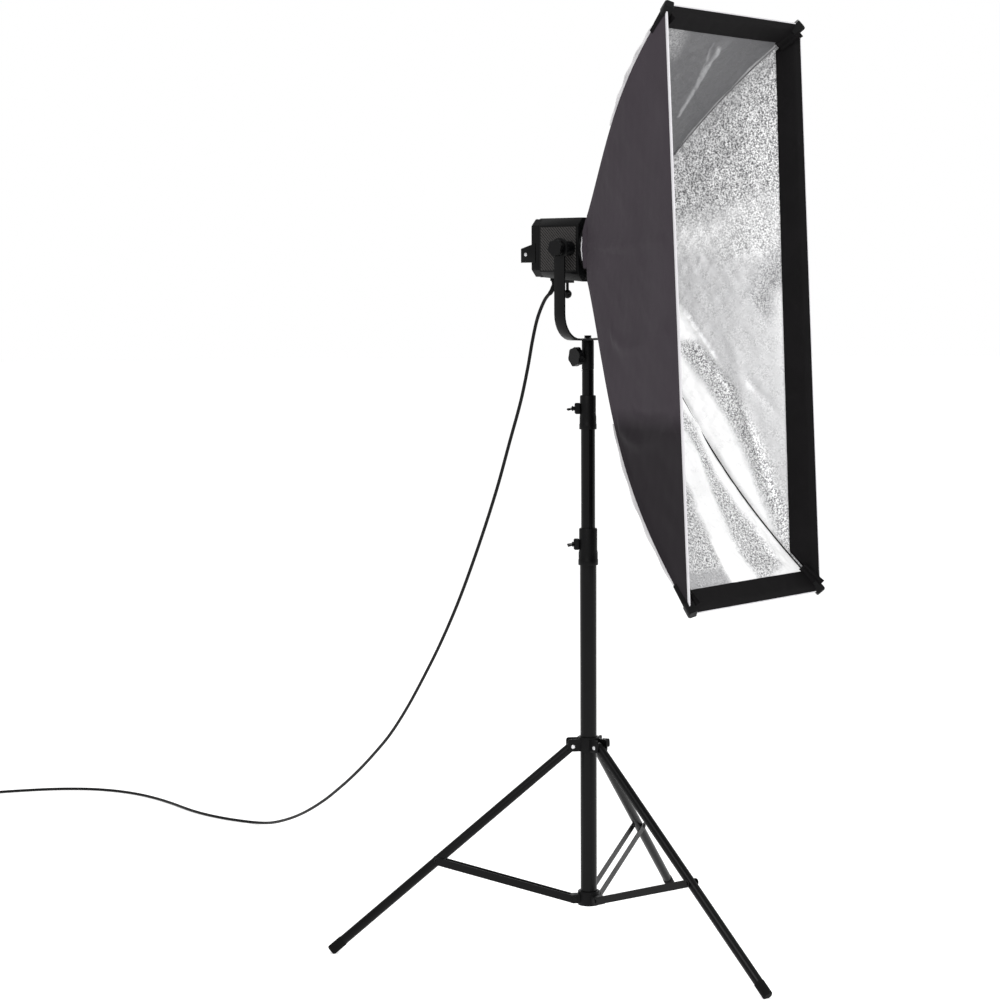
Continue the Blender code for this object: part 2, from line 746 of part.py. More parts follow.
def make_rear_panel():
    start = CASING_REAR + GAP
    rings = [lamp_section(start), lamp_section(PANEL_REAR - 0.011), lamp_section(PANEL_REAR, 0.70)]
    panel = finish_shell(make_loft("rear_panel", rings, LAMP_WALL, CASING_BLACK), True)
    for x, z, radius in ((0.022, 0.012, 0.0056), (-0.012, -0.021, 0.0039), (0.012, -0.021, 0.0039)):
        wall = cylinder("control_hole", lamp_point(x, 0.08, z), lamp_point(x, 0.12, z), radius, sides=16)
        cut(panel, wall)
    origin = Matrix.Translation(lamp_point(0, 0, 0))
    cut(panel, box("switch_hole", (-0.0325, 0.08, -0.0325), (-0.0235, 0.12, -0.0155), None, origin))
    for row in range(4):
        low = 0.0265 + row * 0.0034
        cut(panel, box(f"vent_{row}", (-0.030, 0.08, low), (0.030, 0.12, low + 0.0018), None, origin))
    return panel


def make_rear_bracket():
    """Two ears behind the lamp with a bar between them."""
    half = LAMP_HALF_WIDTH - 0.0015
    start = PANEL_REAR - 0.0084
    outline = [(0.0, -0.0265), (0.0355, -0.0265), (0.0355, 0.0010), (0.0, 0.0115)]
    ears = []
    for side in (-1, 1):
        frame = axis_matrix(lamp_point(side * half, start, 0), (1, 0, 0), (0, 0, 1))
        material = PAINTED_STEEL if side < 0 else None
        name = "rear_bracket" if side < 0 else "rear_bracket_far_ear"
        ears.append(plate(name, outline, 0.003, frame, material))
    ends = [lamp_point(side * (half + 0.0025), start + 0.0225, -0.0105) for side in (-1, 1)]
    return join(ears[0], cylinder("rear_bracket_bar", ends[0], ends[1], 0.0045), ears[1])


def make_mount_ring():
    """The bayonet ring on the lamp's face."""
    front = CASING_FRONT - 0.010
    frame = axis_matrix(lamp_point(0, 0, 0), (0, -1, 0), (0, 0, 1))
    profile = [(0.0575, -front), (0.0585, -front - 0.001), (0.0585, -CASING_FRONT + GAP)]
    profile += [(0.0440, -CASING_FRONT + GAP), (0.0440, -front)]
    return turned("mount_ring", profile, frame, CAST_BLACK, steps=40, ring=True)


def make_mount_latch():
    """The slide that releases the softbox, in a notch of its own below the bayonet ring."""
    origin = Matrix.Translation(lamp_point(0.0, 0, 0))
    low = (0.0602, -0.0300, -0.008)
    high = (0.0655, -0.0205, 0.008)
    return box("mount_latch", low, high, KNOB_BLACK, origin, 0.001)


def make_heat_sink():
    """A base plate with upright fins behind the emitter."""
    fins, pitch, thick = 9, 0.0100, 0.0022
    base_low, base_high, fin_end = -0.0100, -0.0040, 0.0340
    half = (fins - 1) * pitch / 2 + thick / 2
    outline = [(-half, base_low), (half, base_low)]
    for i in reversed(range(fins)):
        x = (i - (fins - 1) / 2) * pitch
        outline += [
            (x + thick / 2, base_high), (x + thick / 2, fin_end),
            (x - thick / 2, fin_end), (x - thick / 2, base_high)
        ]
    outline = [outline[0], outline[1]] + outline[3:-1]
    return plate("heat_sink", outline, 0.076, Matrix.Translation(lamp_point(0, 0, 0)), ALUMINIUM)


def make_led_chip():
    board = box(
        "led_chip", (-0.018, -0.0125, -0.018), (0.018, -0.0103, 0.018),
        EMITTER, Matrix.Translation(lamp_point(0, 0, 0))
    )
    dome = cylinder("led_dome", lamp_point(0, -0.0120, 0), lamp_point(0, -0.0138, 0), 0.012, sides=24)
    return join(board, dome)


def make_fan_frame():
    origin = Matrix.Translation(lamp_point(0, 0, 0))
    frame = box("fan_frame", (-0.040, 0.0380, -0.040), (0.040, 0.0520, 0.040), CASING_BLACK, origin)
    cut(frame, cylinder("fan_tunnel", lamp_point(0, 0.03, 0), lamp_point(0, 0.06, 0), 0.0375, sides=32))
    for angle in (45, 165, 285):
        spoke = outward(angle)
        end = lamp_point(spoke.x * 0.0385, 0.0507, spoke.y * 0.0385)
        join(frame, cylinder(f"fan_spoke_{angle}", lamp_point(0, 0.0507, 0), end, 0.0011, sides=8))
    return join(frame, cylinder("fan_motor", lamp_point(0, 0.0495, 0), lamp_point(0, 0.0519, 0), 0.0125))


def make_fan_rotor():
    rotor = cylinder(
        "fan_rotor", lamp_point(0, 0.0395, 0), lamp_point(0, 0.0485, 0), 0.0130, KNOB_BLACK, 24
    )
    for i in range(7):
        turn = Matrix.Rotation(2 * math.pi * i / 7, 4, "Y") @ Matrix.Rotation(math.radians(35), 4, "Z")
        frame = Matrix.Translation(lamp_point(0, 0.0440, 0)) @ turn
        join(
            rotor, box(f"fan_blade_{i}", (-0.0060, -0.0007, 0.0115), (0.0060, 0.0007, 0.0355), None, frame)
        )
    return rotor


def make_driver_board():
    origin = Matrix.Translation(lamp_point(0, 0, 0))
    board = box("driver_board", (-0.038, -0.008, -0.0500), (0.038, 0.068, -0.0484), BOARD, origin)
    join(board, box("board_coil", (-0.030, 0.004, -0.0486), (-0.012, 0.022, -0.0425), None, origin))
    return join(board, box("board_supply", (0.006, 0.010, -0.0486), (0.030, 0.034, -0.0425), None, origin))


def make_controls():
    """Dial, two buttons and the rocker switch on the rear panel."""
    rear = PANEL_REAR
    dial = cylinder(
        "dimmer_dial", lamp_point(0.022, rear + GAP, 0.012),
        lamp_point(0.022, rear + 0.012, 0.012), 0.0085, KNOB_BLACK, 24
    )
    join(
        dial, cylinder(
            "dial_shaft", lamp_point(0.022, rear - 0.006, 0.012),
            lamp_point(0.022, rear + 0.002, 0.012), 0.003
        )
    )
    pieces = [dial]
    for number, x in ((1, -0.012), (2, 0.012)):
        start = lamp_point(x, rear - 0.004, -0.021)
        pieces.append(
            cylinder(
                f"button_{number}", start, lamp_point(x, rear + 0.0016, -0.021), 0.0036, KNOB_BLACK, 16
            )
        )
    centre = lamp_point(-0.028, rear - 0.0015, -0.024)
    outline = [(-0.0036, -0.0078), (0.0040, -0.0078), (0.0022, 0.0), (0.0030, 0.0078), (-0.0036, 0.0078)]
    rocker = plate("power_switch", outline, 0.0082, axis_matrix(centre, (1, 0, 0), (0, 0, 1)), KNOB_BLACK)
    return pieces + [rocker]


def make_umbrella_screw():
    """A thumb screw under the lamp that locks an umbrella's shaft."""
    y = 0.050
    screw = cylinder(
        "umbrella_screw", lamp_point(0, y, -0.0594), lamp_point(0, y, -0.0830), 0.0029, STEEL, 12
    )
    frame = Matrix.Translation(lamp_point(0, y, -0.0885))
    radius = 0.0088
    ball = [(radius * math.sin(a), radius * math.cos(a)) for a in (i * math.pi / 8 for i in range(9))]
    ball[0], ball[-1] = (0.0, radius), (0.0, -radius)
    return join(screw, turned("umbrella_ball", ball, frame, steps=16))


def make_gland():
    """The strain relief that the cord leaves the lamp by."""
    x, y = -0.010, 0.0745
    frame = Matrix.Translation(lamp_point(x, y, 0))
    top = -0.0568
    low = top - 0.0125
    profile = [
        (0, top), (0.0085, top), (0.0085, top - 0.005), (0.0062, top - 0.0065), (0.0050, low), (0, low)
    ]
    return turned("cord_gland", profile, frame, RUBBER, steps=18)


def make_tilt_knob():
    face = YOKE_HALF_SPAN + YOKE_STRAP[1] / 2
    start = YOKE_HALF_SPAN - YOKE_STRAP[1] / 2
    return make_lobed_knob(
        "tilt_knob", lamp_point(0, 0, 0), Vector((-1, 0, 0)), start, face, 0.0165, 0.010, 0.005
    )


def make_pivot_bolt():
    """The bolt that the lamp tilts on, on the side away from the knob."""
    inner = YOKE_HALF_SPAN - YOKE_STRAP[1] / 2
    face = YOKE_HALF_SPAN + YOKE_STRAP[1] / 2 + GAP
    bolt = cylinder("pivot_bolt", lamp_point(inner, 0, 0), lamp_point(face + 0.002, 0, 0), 0.005, STEEL, 16)
    return join(
        bolt, cylinder("pivot_bolt_head", lamp_point(face, 0, 0), lamp_point(face + 0.0045, 0, 0), 0.009)
    )


# ---------------------------------------------------------------- softbox


def front_y(z):
    """The front frame leans back, so its upper edge is nearer the lamp."""
    return FRONT_AT_AXIS + z * math.tan(FRONT_LEAN)


def seam_point(side, top, share):
    """A point on the seam over one rod, from the ring (0) to the front corner (1), bowed outwards."""
    z_end = SOFTBOX_TOP if top else SOFTBOX_BOTTOM
    z_start = RING_CORNER[1] if top else -RING_CORNER[1]
    start = Vector((side * RING_CORNER[0], FABRIC_REAR_Y, z_start))
    end = Vector((side * SOFTBOX_WIDTH / 2, front_y(z_end), z_end))
    bow = BOW_TOP if top else BOW_BOTTOM
    chord = end - start
    reach = Vector((chord.x, 0, chord.z))
    normal = (reach.normalized() * -chord.y + Vector((0, 1, 0)) * reach.length).normalized()
    return start + chord * share + normal * bow * math.sin(math.pi * share**BOW_SKEW), normal


def rod_point(side, top, distance):
    """The middle of a rod, a distance along it from the ring."""
    share = distance / seam_length(side, top)
    spot, normal = seam_point(side, top, share)
    return spot - normal * ROD_INSET


def seam_length(side, top):
    return (seam_point(side, top, 1.0)[0] - seam_point(side, top, 0.0)[0]).length


def make_rod(name, side, top):
    curve = bpy.data.curves.new(name, "CURVE")
    curve.dimensions = "3D"
    curve.bevel_depth = ROD_RADIUS
    curve.bevel_resolution = 2
    curve.use_fill_caps = True
    length = seam_length(side, top)
    mouth = ROD_START + ROD_PLUGGED
    distances = [ROD_START + GAP] + [mouth + (length * 0.99 - mouth) * i / 11 for i in range(12)]
    spline = curve.splines.new("POLY")
    spline.points.add(len(distances) - 1)
    for point, distance in zip(spline.points, distances):
        point.co = (*rod_point(side, top, distance), 1.0)
    return curve_to_mesh(name, curve, Matrix.Translation(lamp_point(0, 0, 0)), PAINTED_STEEL)


def panel_edge(seam, share):
    start = PANEL_START / seam_length(*seam)
    return seam_point(*seam, start + (1 - start) * share)[0]


def make_panel(name, first, second):
    """The fabric between two seams: a skin with a few rows and columns, thickened outwards."""
    rows, columns = 8, 4
    bm = bmesh.new()
    grid = []
    for i in range(rows + 1):
        a = panel_edge(first, i / rows)
        b = panel_edge(second, i / rows)
        inset = (b - a).normalized() * SEAM_INSET
        a, b = a + inset, b - inset
        grid.append([bm.verts.new(lamp_point(*(a.lerp(b, j / columns)))) for j in range(columns + 1)])
    for near, far in zip(grid, grid[1:]):
        for j in range(columns):
            bm.faces.new((near[j], near[j + 1], far[j + 1], far[j]))
    bmesh.ops.recalc_face_normals(bm, faces=bm.faces)
    mesh = bpy.data.meshes.new(name)
    bm.to_mesh(mesh)
    bm.free()
    panel = place(name, mesh, Matrix(), NYLON)
    cloth = panel.modifiers.new("cloth", "SOLIDIFY")
    cloth.thickness = FABRIC
    cloth.offset = 0
    return panel


def make_adapter():
    """The bayonet plate of the softbox, with a spigot inside the lamp's ring."""
    rear = -CASING_FRONT + 0.010 + GAP
    frame = axis_matrix(lamp_point(0, 0, 0), (0, -1, 0), (0, 0, 1))
    profile = [
        (0.0560, rear + 0.0095), (0.0560, rear), (0.0436, rear),
        (0.0436, rear - 0.008), (0.0400, rear - 0.008)
    ]
    profile += [(0.0400, rear + 0.0095)]
    return turned("mount_adapter", profile, frame, ALUMINIUM, steps=40, ring=True)


def make_speedring():
    """The ring that the rods plug into, with a socket for each."""
    rear = -CASING_FRONT + 0.010 + GAP + 0.0095 + GAP
    front = -RING_FRONT_Y
    frame = axis_matrix(lamp_point(0, 0, 0), (0, -1, 0), (0, 0, 1))
    profile = [(0.0575, front), (0.0585, front - 0.001), (0.0585, rear), (0.0460, rear), (0.0460, front)]
    ring = turned("speedring", profile, frame, CAST_BLACK, steps=40, ring=True)
    for side in (-1, 1):
        for top in (False, True):
            start = lamp_point(*rod_point(side, top, ROD_START))
            mouth = lamp_point(*rod_point(side, top, ROD_START + ROD_PLUGGED))
            lead = (mouth - start).normalized()
            corner = Vector((side, 0, 1 if top else -1)).normalized() * 0.0545
            foot = lamp_point(corner.x, RING_FRONT_Y + 0.006, corner.z)
            name = f"socket_{side}_{int(top)}"
            join(ring, cylinder(name + "_lug", foot, start + lead * 0.003, 0.0042, sides=14))
            join(ring, cylinder(name, start - lead * 0.003, mouth, 0.0042, sides=14))
            cut(ring, cylinder(name + "_bore", start, mouth + lead * 0.02, 0.0026, sides=12))
    return ring


def make_speedring_screw():
    """The thumb screw that locks the ring's turn, at its lower rim."""
    y = (RING_FRONT_Y + CASING_FRONT - 0.010 - 0.0095 - 2 * GAP) / 2
    top, low = -0.0585 - GAP, -0.0745
    screw = cylinder("speedring_screw", lamp_point(0, y, top), lamp_point(0, y, low), 0.0026, STEEL, 12)
    return join(
        screw, cylinder(
            "speedring_screw_head", lamp_point(0, y, low + 0.002),
            lamp_point(0, y, low - 0.008), 0.0070, sides=14
        )
    )


# ---------------------------------------------------------------- cord


def smooth_route(points, count):
    """Evenly spaced points on a Catmull-Rom curve through the route's own points."""
    ends = [points[0] * 2 - points[1]] + points + [points[-1] * 2 - points[-2]]
    fine = []
    for a, b, c, d in zip(ends, ends[1:], ends[2:], ends[3:]):
        for i in range(24):
            t = i / 24
            fine.append(
                0.5 * (
                    2 * b + (c - a) * t + (2 * a - 5 * b + 4 * c - d) * t**2 + (3 * b - a - 3 * c + d) * t**3
                )
            )
    fine.append(points[-1])
    along = [0.0]
    for first, second in zip(fine, fine[1:]):
        along.append(along[-1] + (second - first).length)
    spots, index = [], 0
    for i in range(count):
        goal = along[-1] * i / (count - 1)
        while index < len(along) - 2 and along[index + 1] < goal:
            index += 1
        share = (goal - along[index]) / max(along[index + 1] - along[index], 1e-9)
        spots.append(fine[index].lerp(fine[index + 1], share))
    return spots


def make_cord_run():
    points = [mast_point(*p) for p in CORD_ROUTE]
    curve = bpy.data.curves.new("cord_run", "CURVE")
    curve.dimensions = "3D"
    curve.bevel_depth = CORD_RADIUS
    curve.bevel_resolution = 2
    curve.use_fill_caps = True
    spots = smooth_route(points, CORD_POINTS)
    spline = curve.splines.new("POLY")
    spline.points.add(len(spots) - 1)
    for point, spot in zip(spline.points, spots):
        point.co = (*spot, 1.0)
    return curve_to_mesh("cord_run", curve, Matrix(), CORD_BLACK)


def make_coil():
    """The outer shape of the coil that stores the rest of the cord."""
    inner, outer = COIL_MEAN_RADIUS - COIL_HALF_WIDTH, COIL_MEAN_RADIUS + COIL_HALF_WIDTH
    low, high, edge = GAP, GAP + COIL_HEIGHT, 0.003
    profile = [(outer - edge, high), (outer, high - edge), (outer, low + edge), (outer - edge, low)]
    profile += [(inner + edge, low), (inner, low + edge), (inner, high - edge), (inner + edge, high)]
    frame = Matrix.Translation(mast_point(*COIL_CENTRE, 0))
    return turned("cord_coil", profile, frame, CORD_BLACK, steps=32, ring=True)


def make_plug():
    """A moulded mains plug with two blades, lying beside the coil."""
    height = 0.0135
    start = mast_point(COIL_CENTRE[0] - 0.047, COIL_CENTRE[1] + 0.029, height)
    frame = axis_matrix(start, (0, 1, 0), (0, 0, 1))
    profile = [
        (0, 0.036), (0.011, 0.036), (0.013, 0.034), (0.013, 0.018), (0.0075, 0.008), (0.0045, 0.0), (0, 0.0)
    ]
    plug = turned("cord_plug", profile, frame, CORD_BLACK, steps=20)
    for side in (-1, 1):
        low = (side * 0.0064 - 0.0008, -0.0031, 0.035)
        high = (side * 0.0064 + 0.0008, 0.0031, 0.054)
        join(plug, box(f"plug_blade_{side}", low, high, None, frame))
    return plug


def main():
    make_tube("base_tube", BASE_TUBE)
    make_end_cap()
    make_bracket()
    make_clamp("base_clamp", BASE_CLAMP, BASE_TUBE, MID_TUBE)
    make_clamp_knob("base_clamp_knob", BASE_CLAMP, BASE_TUBE)
    make_tube("mid_tube", MID_TUBE)
    make_clamp("mid_clamp", MID_CLAMP, MID_TUBE, TOP_TUBE)
    make_clamp_knob("mid_clamp_knob", MID_CLAMP, MID_TUBE)
    make_tube("top_tube", TOP_TUBE)
    make_spigot()
    make_collar()
    make_collar_knob()
    for number, angle in enumerate(LEG_ANGLES, 1):
        make_leg(number, angle)
        make_foot(number, angle)
        make_leg_pin(number, angle)
        make_brace(number, angle)
    pan_axis = add_empty("pan_axis", mast_point(0, 0, RECEIVER[0]))
    receiver_knob = make_lobed_knob(
        "receiver_knob", mast_point(0, 0, receiver_knob_height()), outward(RECEIVER_KNOB_ANGLE),
        SPIGOT_RADIUS + 0.0006, 0.018, 0.0195, 0.011,
    )
    hang(pan_axis, make_receiver(), receiver_knob, make_yoke_strap(), make_yoke_bolt(), make_pivot_bolt())
    tilt_axis = add_empty("tilt_axis", lamp_point(0, 0, 0))
    lamp = [make_casing(), make_rear_panel(), make_rear_bracket(), make_mount_ring(), make_mount_latch()]
    lamp += [make_heat_sink(), make_led_chip(), make_fan_frame(), make_fan_rotor(), make_driver_board()]
    lamp += make_controls() + [make_umbrella_screw(), make_gland(), make_tilt_knob()]
    hang(tilt_axis, *lamp)
    roll_axis = add_empty("roll_axis", lamp_point(0, RING_FRONT_Y, 0))
    softbox = [make_adapter(), make_speedring(), make_speedring_screw()]
    for number, (side, top) in enumerate(((-1, True), (1, True), (1, False), (-1, False)), 1):
        softbox.append(make_rod(f"rod_{number}", side, top))
    softbox.append(make_panel("top_panel", (-1, True), (1, True)))
    softbox.append(make_panel("bottom_panel", (1, False), (-1, False)))
    softbox.append(make_panel("left_panel", (-1, False), (-1, True)))
    softbox.append(make_panel("right_panel", (1, True), (1, False)))
    hang(roll_axis, *softbox)
    make_cord_run()
    make_coil()
    make_plug()


main()
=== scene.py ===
import math

import bpy
import numpy as np
from mathutils import Matrix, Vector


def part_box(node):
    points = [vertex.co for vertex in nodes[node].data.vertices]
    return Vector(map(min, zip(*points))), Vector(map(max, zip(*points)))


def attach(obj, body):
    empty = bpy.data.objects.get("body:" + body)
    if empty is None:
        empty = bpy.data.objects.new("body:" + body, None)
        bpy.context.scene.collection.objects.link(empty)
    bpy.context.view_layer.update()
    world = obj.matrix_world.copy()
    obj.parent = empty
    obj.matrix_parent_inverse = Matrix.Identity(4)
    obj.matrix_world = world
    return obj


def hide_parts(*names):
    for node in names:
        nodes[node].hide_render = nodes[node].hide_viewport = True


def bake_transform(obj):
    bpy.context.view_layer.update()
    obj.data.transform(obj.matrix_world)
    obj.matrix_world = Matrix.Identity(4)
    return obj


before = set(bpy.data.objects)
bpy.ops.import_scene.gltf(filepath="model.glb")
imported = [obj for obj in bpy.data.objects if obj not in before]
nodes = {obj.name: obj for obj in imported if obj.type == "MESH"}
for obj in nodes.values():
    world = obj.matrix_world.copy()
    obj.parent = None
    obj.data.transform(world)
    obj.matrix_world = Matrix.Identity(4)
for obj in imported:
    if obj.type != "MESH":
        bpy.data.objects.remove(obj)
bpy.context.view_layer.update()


def middle(name):
    low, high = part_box(name)
    return (np.array(low) + np.array(high)) / 2


mast = middle("base_tube") * [1, 1, 0]
lampMiddle = mast + [0, 0, middle("fan_frame")[2]]  # the tilt axis crosses the mast here


camera = {
    "lens": 91.15,  # on a 36 mm sensor
    "fromMast": (-4.0117, -2.9794, 1.303),
    "heading": 38.6,  # degrees from +X towards +Y
    "pitchDown": 4.689,
    "roll": -0.261,
}


def addCamera(settings):
    data = bpy.data.cameras.new("studioCamera")
    data.lens = settings["lens"]
    data.clip_end = 100
    obj = bpy.data.objects.new("studioCamera", data)
    bpy.context.scene.collection.objects.link(obj)
    obj.location = mast + settings["fromMast"]
    heading, pitch, roll = (math.radians(settings[k]) for k in ("heading", "pitchDown", "roll"))
    obj.rotation_mode = "XYZ"
    level = math.cos(pitch)
    aim = np.array([math.cos(heading) * level, math.sin(heading) * level, -math.sin(pitch)])
    right = np.array([math.sin(heading), -math.cos(heading), 0.0])
    up = np.cross(right, aim)
    tiltedRight = right * math.cos(roll) + up * math.sin(roll)
    tiltedUp = up * math.cos(roll) - right * math.sin(roll)
    turn = np.eye(4)
    turn[:3, 0], turn[:3, 1], turn[:3, 2] = tiltedRight, tiltedUp, -aim
    turn[:3, 3] = obj.location
    obj.matrix_world = Matrix(turn.tolist())
    bpy.context.scene.camera = obj


addCamera(camera)
print("camera placed")


studio = {
    "backdrop": 1.0,
    "ambient": 0.70,
    "floorColour": (0.86, 0.86, 0.86),
    "floorGlow": 0.46,
    "floorRadius": 45.0,
}
softLights = [  # name, place from the mast, aimed at, size, watts
    ("keyLight", (-3.4, -1.2, 4.2), (0, -0.2, 1.2), 2.2, 95),
    ("frontLight", (-0.6, -5.0, 3.0), (0.1, -0.2, 1.2), 2.0, 90),
    ("rimLight", (3.5, 2.5, 3.2), (0, 0, 1.0), 1.6, 45),
]


def nodeOf(tree, kind, **values):
    made = tree.nodes.new(kind)
    for name, value in values.items():
        setattr(made, name, value)
    return made


def addStudio(settings, lights):
    world = bpy.data.worlds.new("studioWorld")
    bpy.context.scene.world = world
    world.use_nodes = True
    tree = world.node_tree
    tree.nodes.clear()
    seen = nodeOf(tree, "ShaderNodeBackground")
    seen.inputs["Color"].default_value = (settings["backdrop"],) * 3 + (1,)
    around = nodeOf(tree, "ShaderNodeBackground")
    around.inputs["Color"].default_value = (settings["ambient"],) * 3 + (1,)
    path = nodeOf(tree, "ShaderNodeLightPath")
    mix = nodeOf(tree, "ShaderNodeMixShader")
    output = nodeOf(tree, "ShaderNodeOutputWorld")
    tree.links.new(path.outputs["Is Camera Ray"], mix.inputs["Fac"])
    tree.links.new(around.outputs["Background"], mix.inputs[1])
    tree.links.new(seen.outputs["Background"], mix.inputs[2])
    tree.links.new(mix.outputs["Shader"], output.inputs["Surface"])
    for name, place, target, size, watts in lights:
        data = bpy.data.lights.new(name, "AREA")
        data.shape = "DISK"
        data.size = size
        data.energy = watts
        obj = bpy.data.objects.new(name, data)
        bpy.context.scene.collection.objects.link(obj)
        start, end = mast + place, mast + target
        away = (start - end) / np.linalg.norm(start - end)
        side = np.cross([0, 0, 1], away)
        side /= np.linalg.norm(side)
        turn = np.eye(4)
        turn[:3, 0], turn[:3, 1], turn[:3, 2], turn[:3, 3] = side, np.cross(away, side), away, start
        obj.matrix_world = Matrix(turn.tolist())
    angle = np.linspace(0, 2 * math.pi, 65)[:-1]
    reach = settings["floorRadius"]
    rim = np.stack([np.cos(angle) * reach, np.sin(angle) * reach, np.zeros(64)], axis=1)
    mesh = bpy.data.meshes.new("studioFloor")
    mesh.from_pydata(rim.tolist(), [], [list(range(64))])
    floor = bpy.data.objects.new("studioFloor", mesh)
    bpy.context.scene.collection.objects.link(floor)
    paint = bpy.data.materials.new("paleFloor")
    paint.use_nodes = True
    shader = paint.node_tree.nodes["Principled BSDF"]
    shader.inputs["Base Color"].default_value = (*settings["floorColour"], 1)
    shader.inputs["Roughness"].default_value = 0.9
    shader.inputs["Specular IOR Level"].default_value = 0.1
    shader.inputs["Emission Color"].default_value = (1, 1, 1, 1)
    shader.inputs["Emission Strength"].default_value = settings["floorGlow"]
    mesh.materials.append(paint)
    bpy.context.scene.view_settings.view_transform = "Standard"


addStudio(studio, softLights)
print("studio lit")


def newMaterial(name, colour, roughness, metallic=0.0, specular=0.5):
    material = bpy.data.materials.new(name)
    material.use_nodes = True
    shader = material.node_tree.nodes["Principled BSDF"]
    shader.inputs["Base Color"].default_value = (*colour, 1)
    shader.inputs["Roughness"].default_value = roughness
    shader.inputs["Metallic"].default_value = metallic
    shader.inputs["Specular IOR Level"].default_value = specular
    return material, material.node_tree, shader


def objectPlace(tree):
    return nodeOf(tree, "ShaderNodeTexCoord").outputs["Object"]


def attributeOf(tree, name):
    return nodeOf(tree, "ShaderNodeAttribute", attribute_name=name).outputs["Fac"]


def noise(tree, place, scale, detail=3.0, roughness=0.5):
    made = nodeOf(tree, "ShaderNodeTexNoise")
    made.inputs["Scale"].default_value = scale
    made.inputs["Detail"].default_value = detail
    made.inputs["Roughness"].default_value = roughness
    tree.links.new(place, made.inputs["Vector"])
    return made.outputs["Fac"]


def ramp(tree, factor, stops):
    # each stop is a place and a colour, which is three values or a single grey one
    made = nodeOf(tree, "ShaderNodeValToRGB")
    elements = made.color_ramp.elements
    while len(elements) < len(stops):
        elements.new(0.5)
    for element, (at, colour) in zip(elements, stops):
        element.position = at
        element.color = (*colour, 1) if len(colour) == 3 else (colour[0],) * 3 + (1,)
    tree.links.new(factor, made.inputs["Fac"])
    return made.outputs["Color"]


def maths(tree, operation, first, second=None, third=None, clamp=False):
    made = nodeOf(tree, "ShaderNodeMath", operation=operation, use_clamp=clamp)
    for socket, value in zip(made.inputs, (first, second, third)):
        if value is None:
            continue
        if isinstance(value, (int, float)):
            socket.default_value = value
        else:
            tree.links.new(value, socket)
    return made.outputs["Value"]


def mixColour(tree, factor, first, second, blend="MIX"):
    made = nodeOf(tree, "ShaderNodeMix", data_type="RGBA", blend_type=blend)
    for name, value in (("Factor", factor), ("A", first), ("B", second)):
        socket = made.inputs[name]
        if isinstance(value, (int, float)):
            socket.default_value = value
        elif isinstance(value, tuple):
            socket.default_value = (*value, 1)
        else:
            tree.links.new(value, socket)
    return made.outputs["Result"]


def relief(tree, shader, height, distance, strength=1.0, under=None):
    made = nodeOf(tree, "ShaderNodeBump")
    made.inputs["Strength"].default_value = strength
    made.inputs["Distance"].default_value = distance
    tree.links.new(height, made.inputs["Height"])
    if under is not None:
        tree.links.new(under, made.inputs["Normal"])
    tree.links.new(made.outputs["Normal"], shader.inputs["Normal"])
    return made.outputs["Normal"]


def wornFinish(name, colour, roughness, grain, depth, specular=0.3, metallic=0.0, blotch=0.25):
    # a base colour with slow blotches, uneven gloss and a fine grain of some depth in metres
    material, tree, shader = newMaterial(name, colour, roughness, metallic, specular)
    slow = noise(tree, objectPlace(tree), 14.0, 4.0)
    light = tuple(min(1.0, c * (1 + blotch)) for c in colour)
    dark = tuple(c * (1 - blotch) for c in colour)
    tree.links.new(ramp(tree, slow, [(0.3, dark), (0.7, light)]), shader.inputs["Base Color"])
    fine = noise(tree, objectPlace(tree), grain, 2.0)
    gloss = maths(tree, "MULTIPLY_ADD", slow, 0.16, roughness - 0.08)
    tree.links.new(gloss, shader.inputs["Roughness"])
    relief(tree, shader, fine, depth, 0.6)
    return material


finishes = {
    "tube": wornFinish("blackAnodisedTube", (0.0022, 0.0022, 0.0024), 0.30, 900, 0.00003, 0.13),
    "fitting": wornFinish("mouldedBlackFitting", (0.0026, 0.0026, 0.0028), 0.46, 1400, 0.00010, 0.11),
    "knob": wornFinish("blackKnob", (0.0026, 0.0026, 0.0028), 0.40, 1700, 0.00008, 0.14),
    "rubber": wornFinish("blackRubber", (0.0040, 0.0040, 0.0040), 0.70, 1200, 0.00012, 0.08),
    "steel": wornFinish("platedSteel", (0.62, 0.62, 0.63), 0.26, 700, 0.00002, 0.5, 1.0, 0.08),
    "paintedSteel": wornFinish("satinBlackSteel", (0.0024, 0.0024, 0.0026), 0.38, 1600, 0.00006, 0.13),
    "casing": wornFinish("satinBlackCasing", (0.0020, 0.0020, 0.0023), 0.36, 2000, 0.00005, 0.12),
    "aluminium": wornFinish("bareAluminium", (0.55, 0.56, 0.57), 0.34, 600, 0.00003, 0.5, 1.0, 0.06),
    "emitter": wornFinish("yellowPhosphor", (0.80, 0.62, 0.12), 0.32, 1500, 0.00008, 0.5),
    "board": wornFinish("greenBoard", (0.02, 0.13, 0.05), 0.42, 900, 0.00006, 0.4),
    "cord": wornFinish("blackCordSheath", (0.0026, 0.0026, 0.0028), 0.42, 800, 0.00006, 0.14),
    "band": wornFinish("blackNylonBand", (0.0042, 0.0038, 0.0042), 0.66, 1300, 0.00008, 0.08),
    "whiteTape": wornFinish("whiteTape", (0.56, 0.55, 0.57), 0.62, 1500, 0.00010, 0.25, 0.0, 0.05),
    "greyTape": wornFinish("silverSelvedge", (0.62, 0.61, 0.62), 0.45, 1100, 0.00010, 0.4, 0.1, 0.10),
    "rodSleeve": wornFinish("greyRodSleeve", (0.16, 0.16, 0.165), 0.5, 900, 0.00005, 0.3),
}


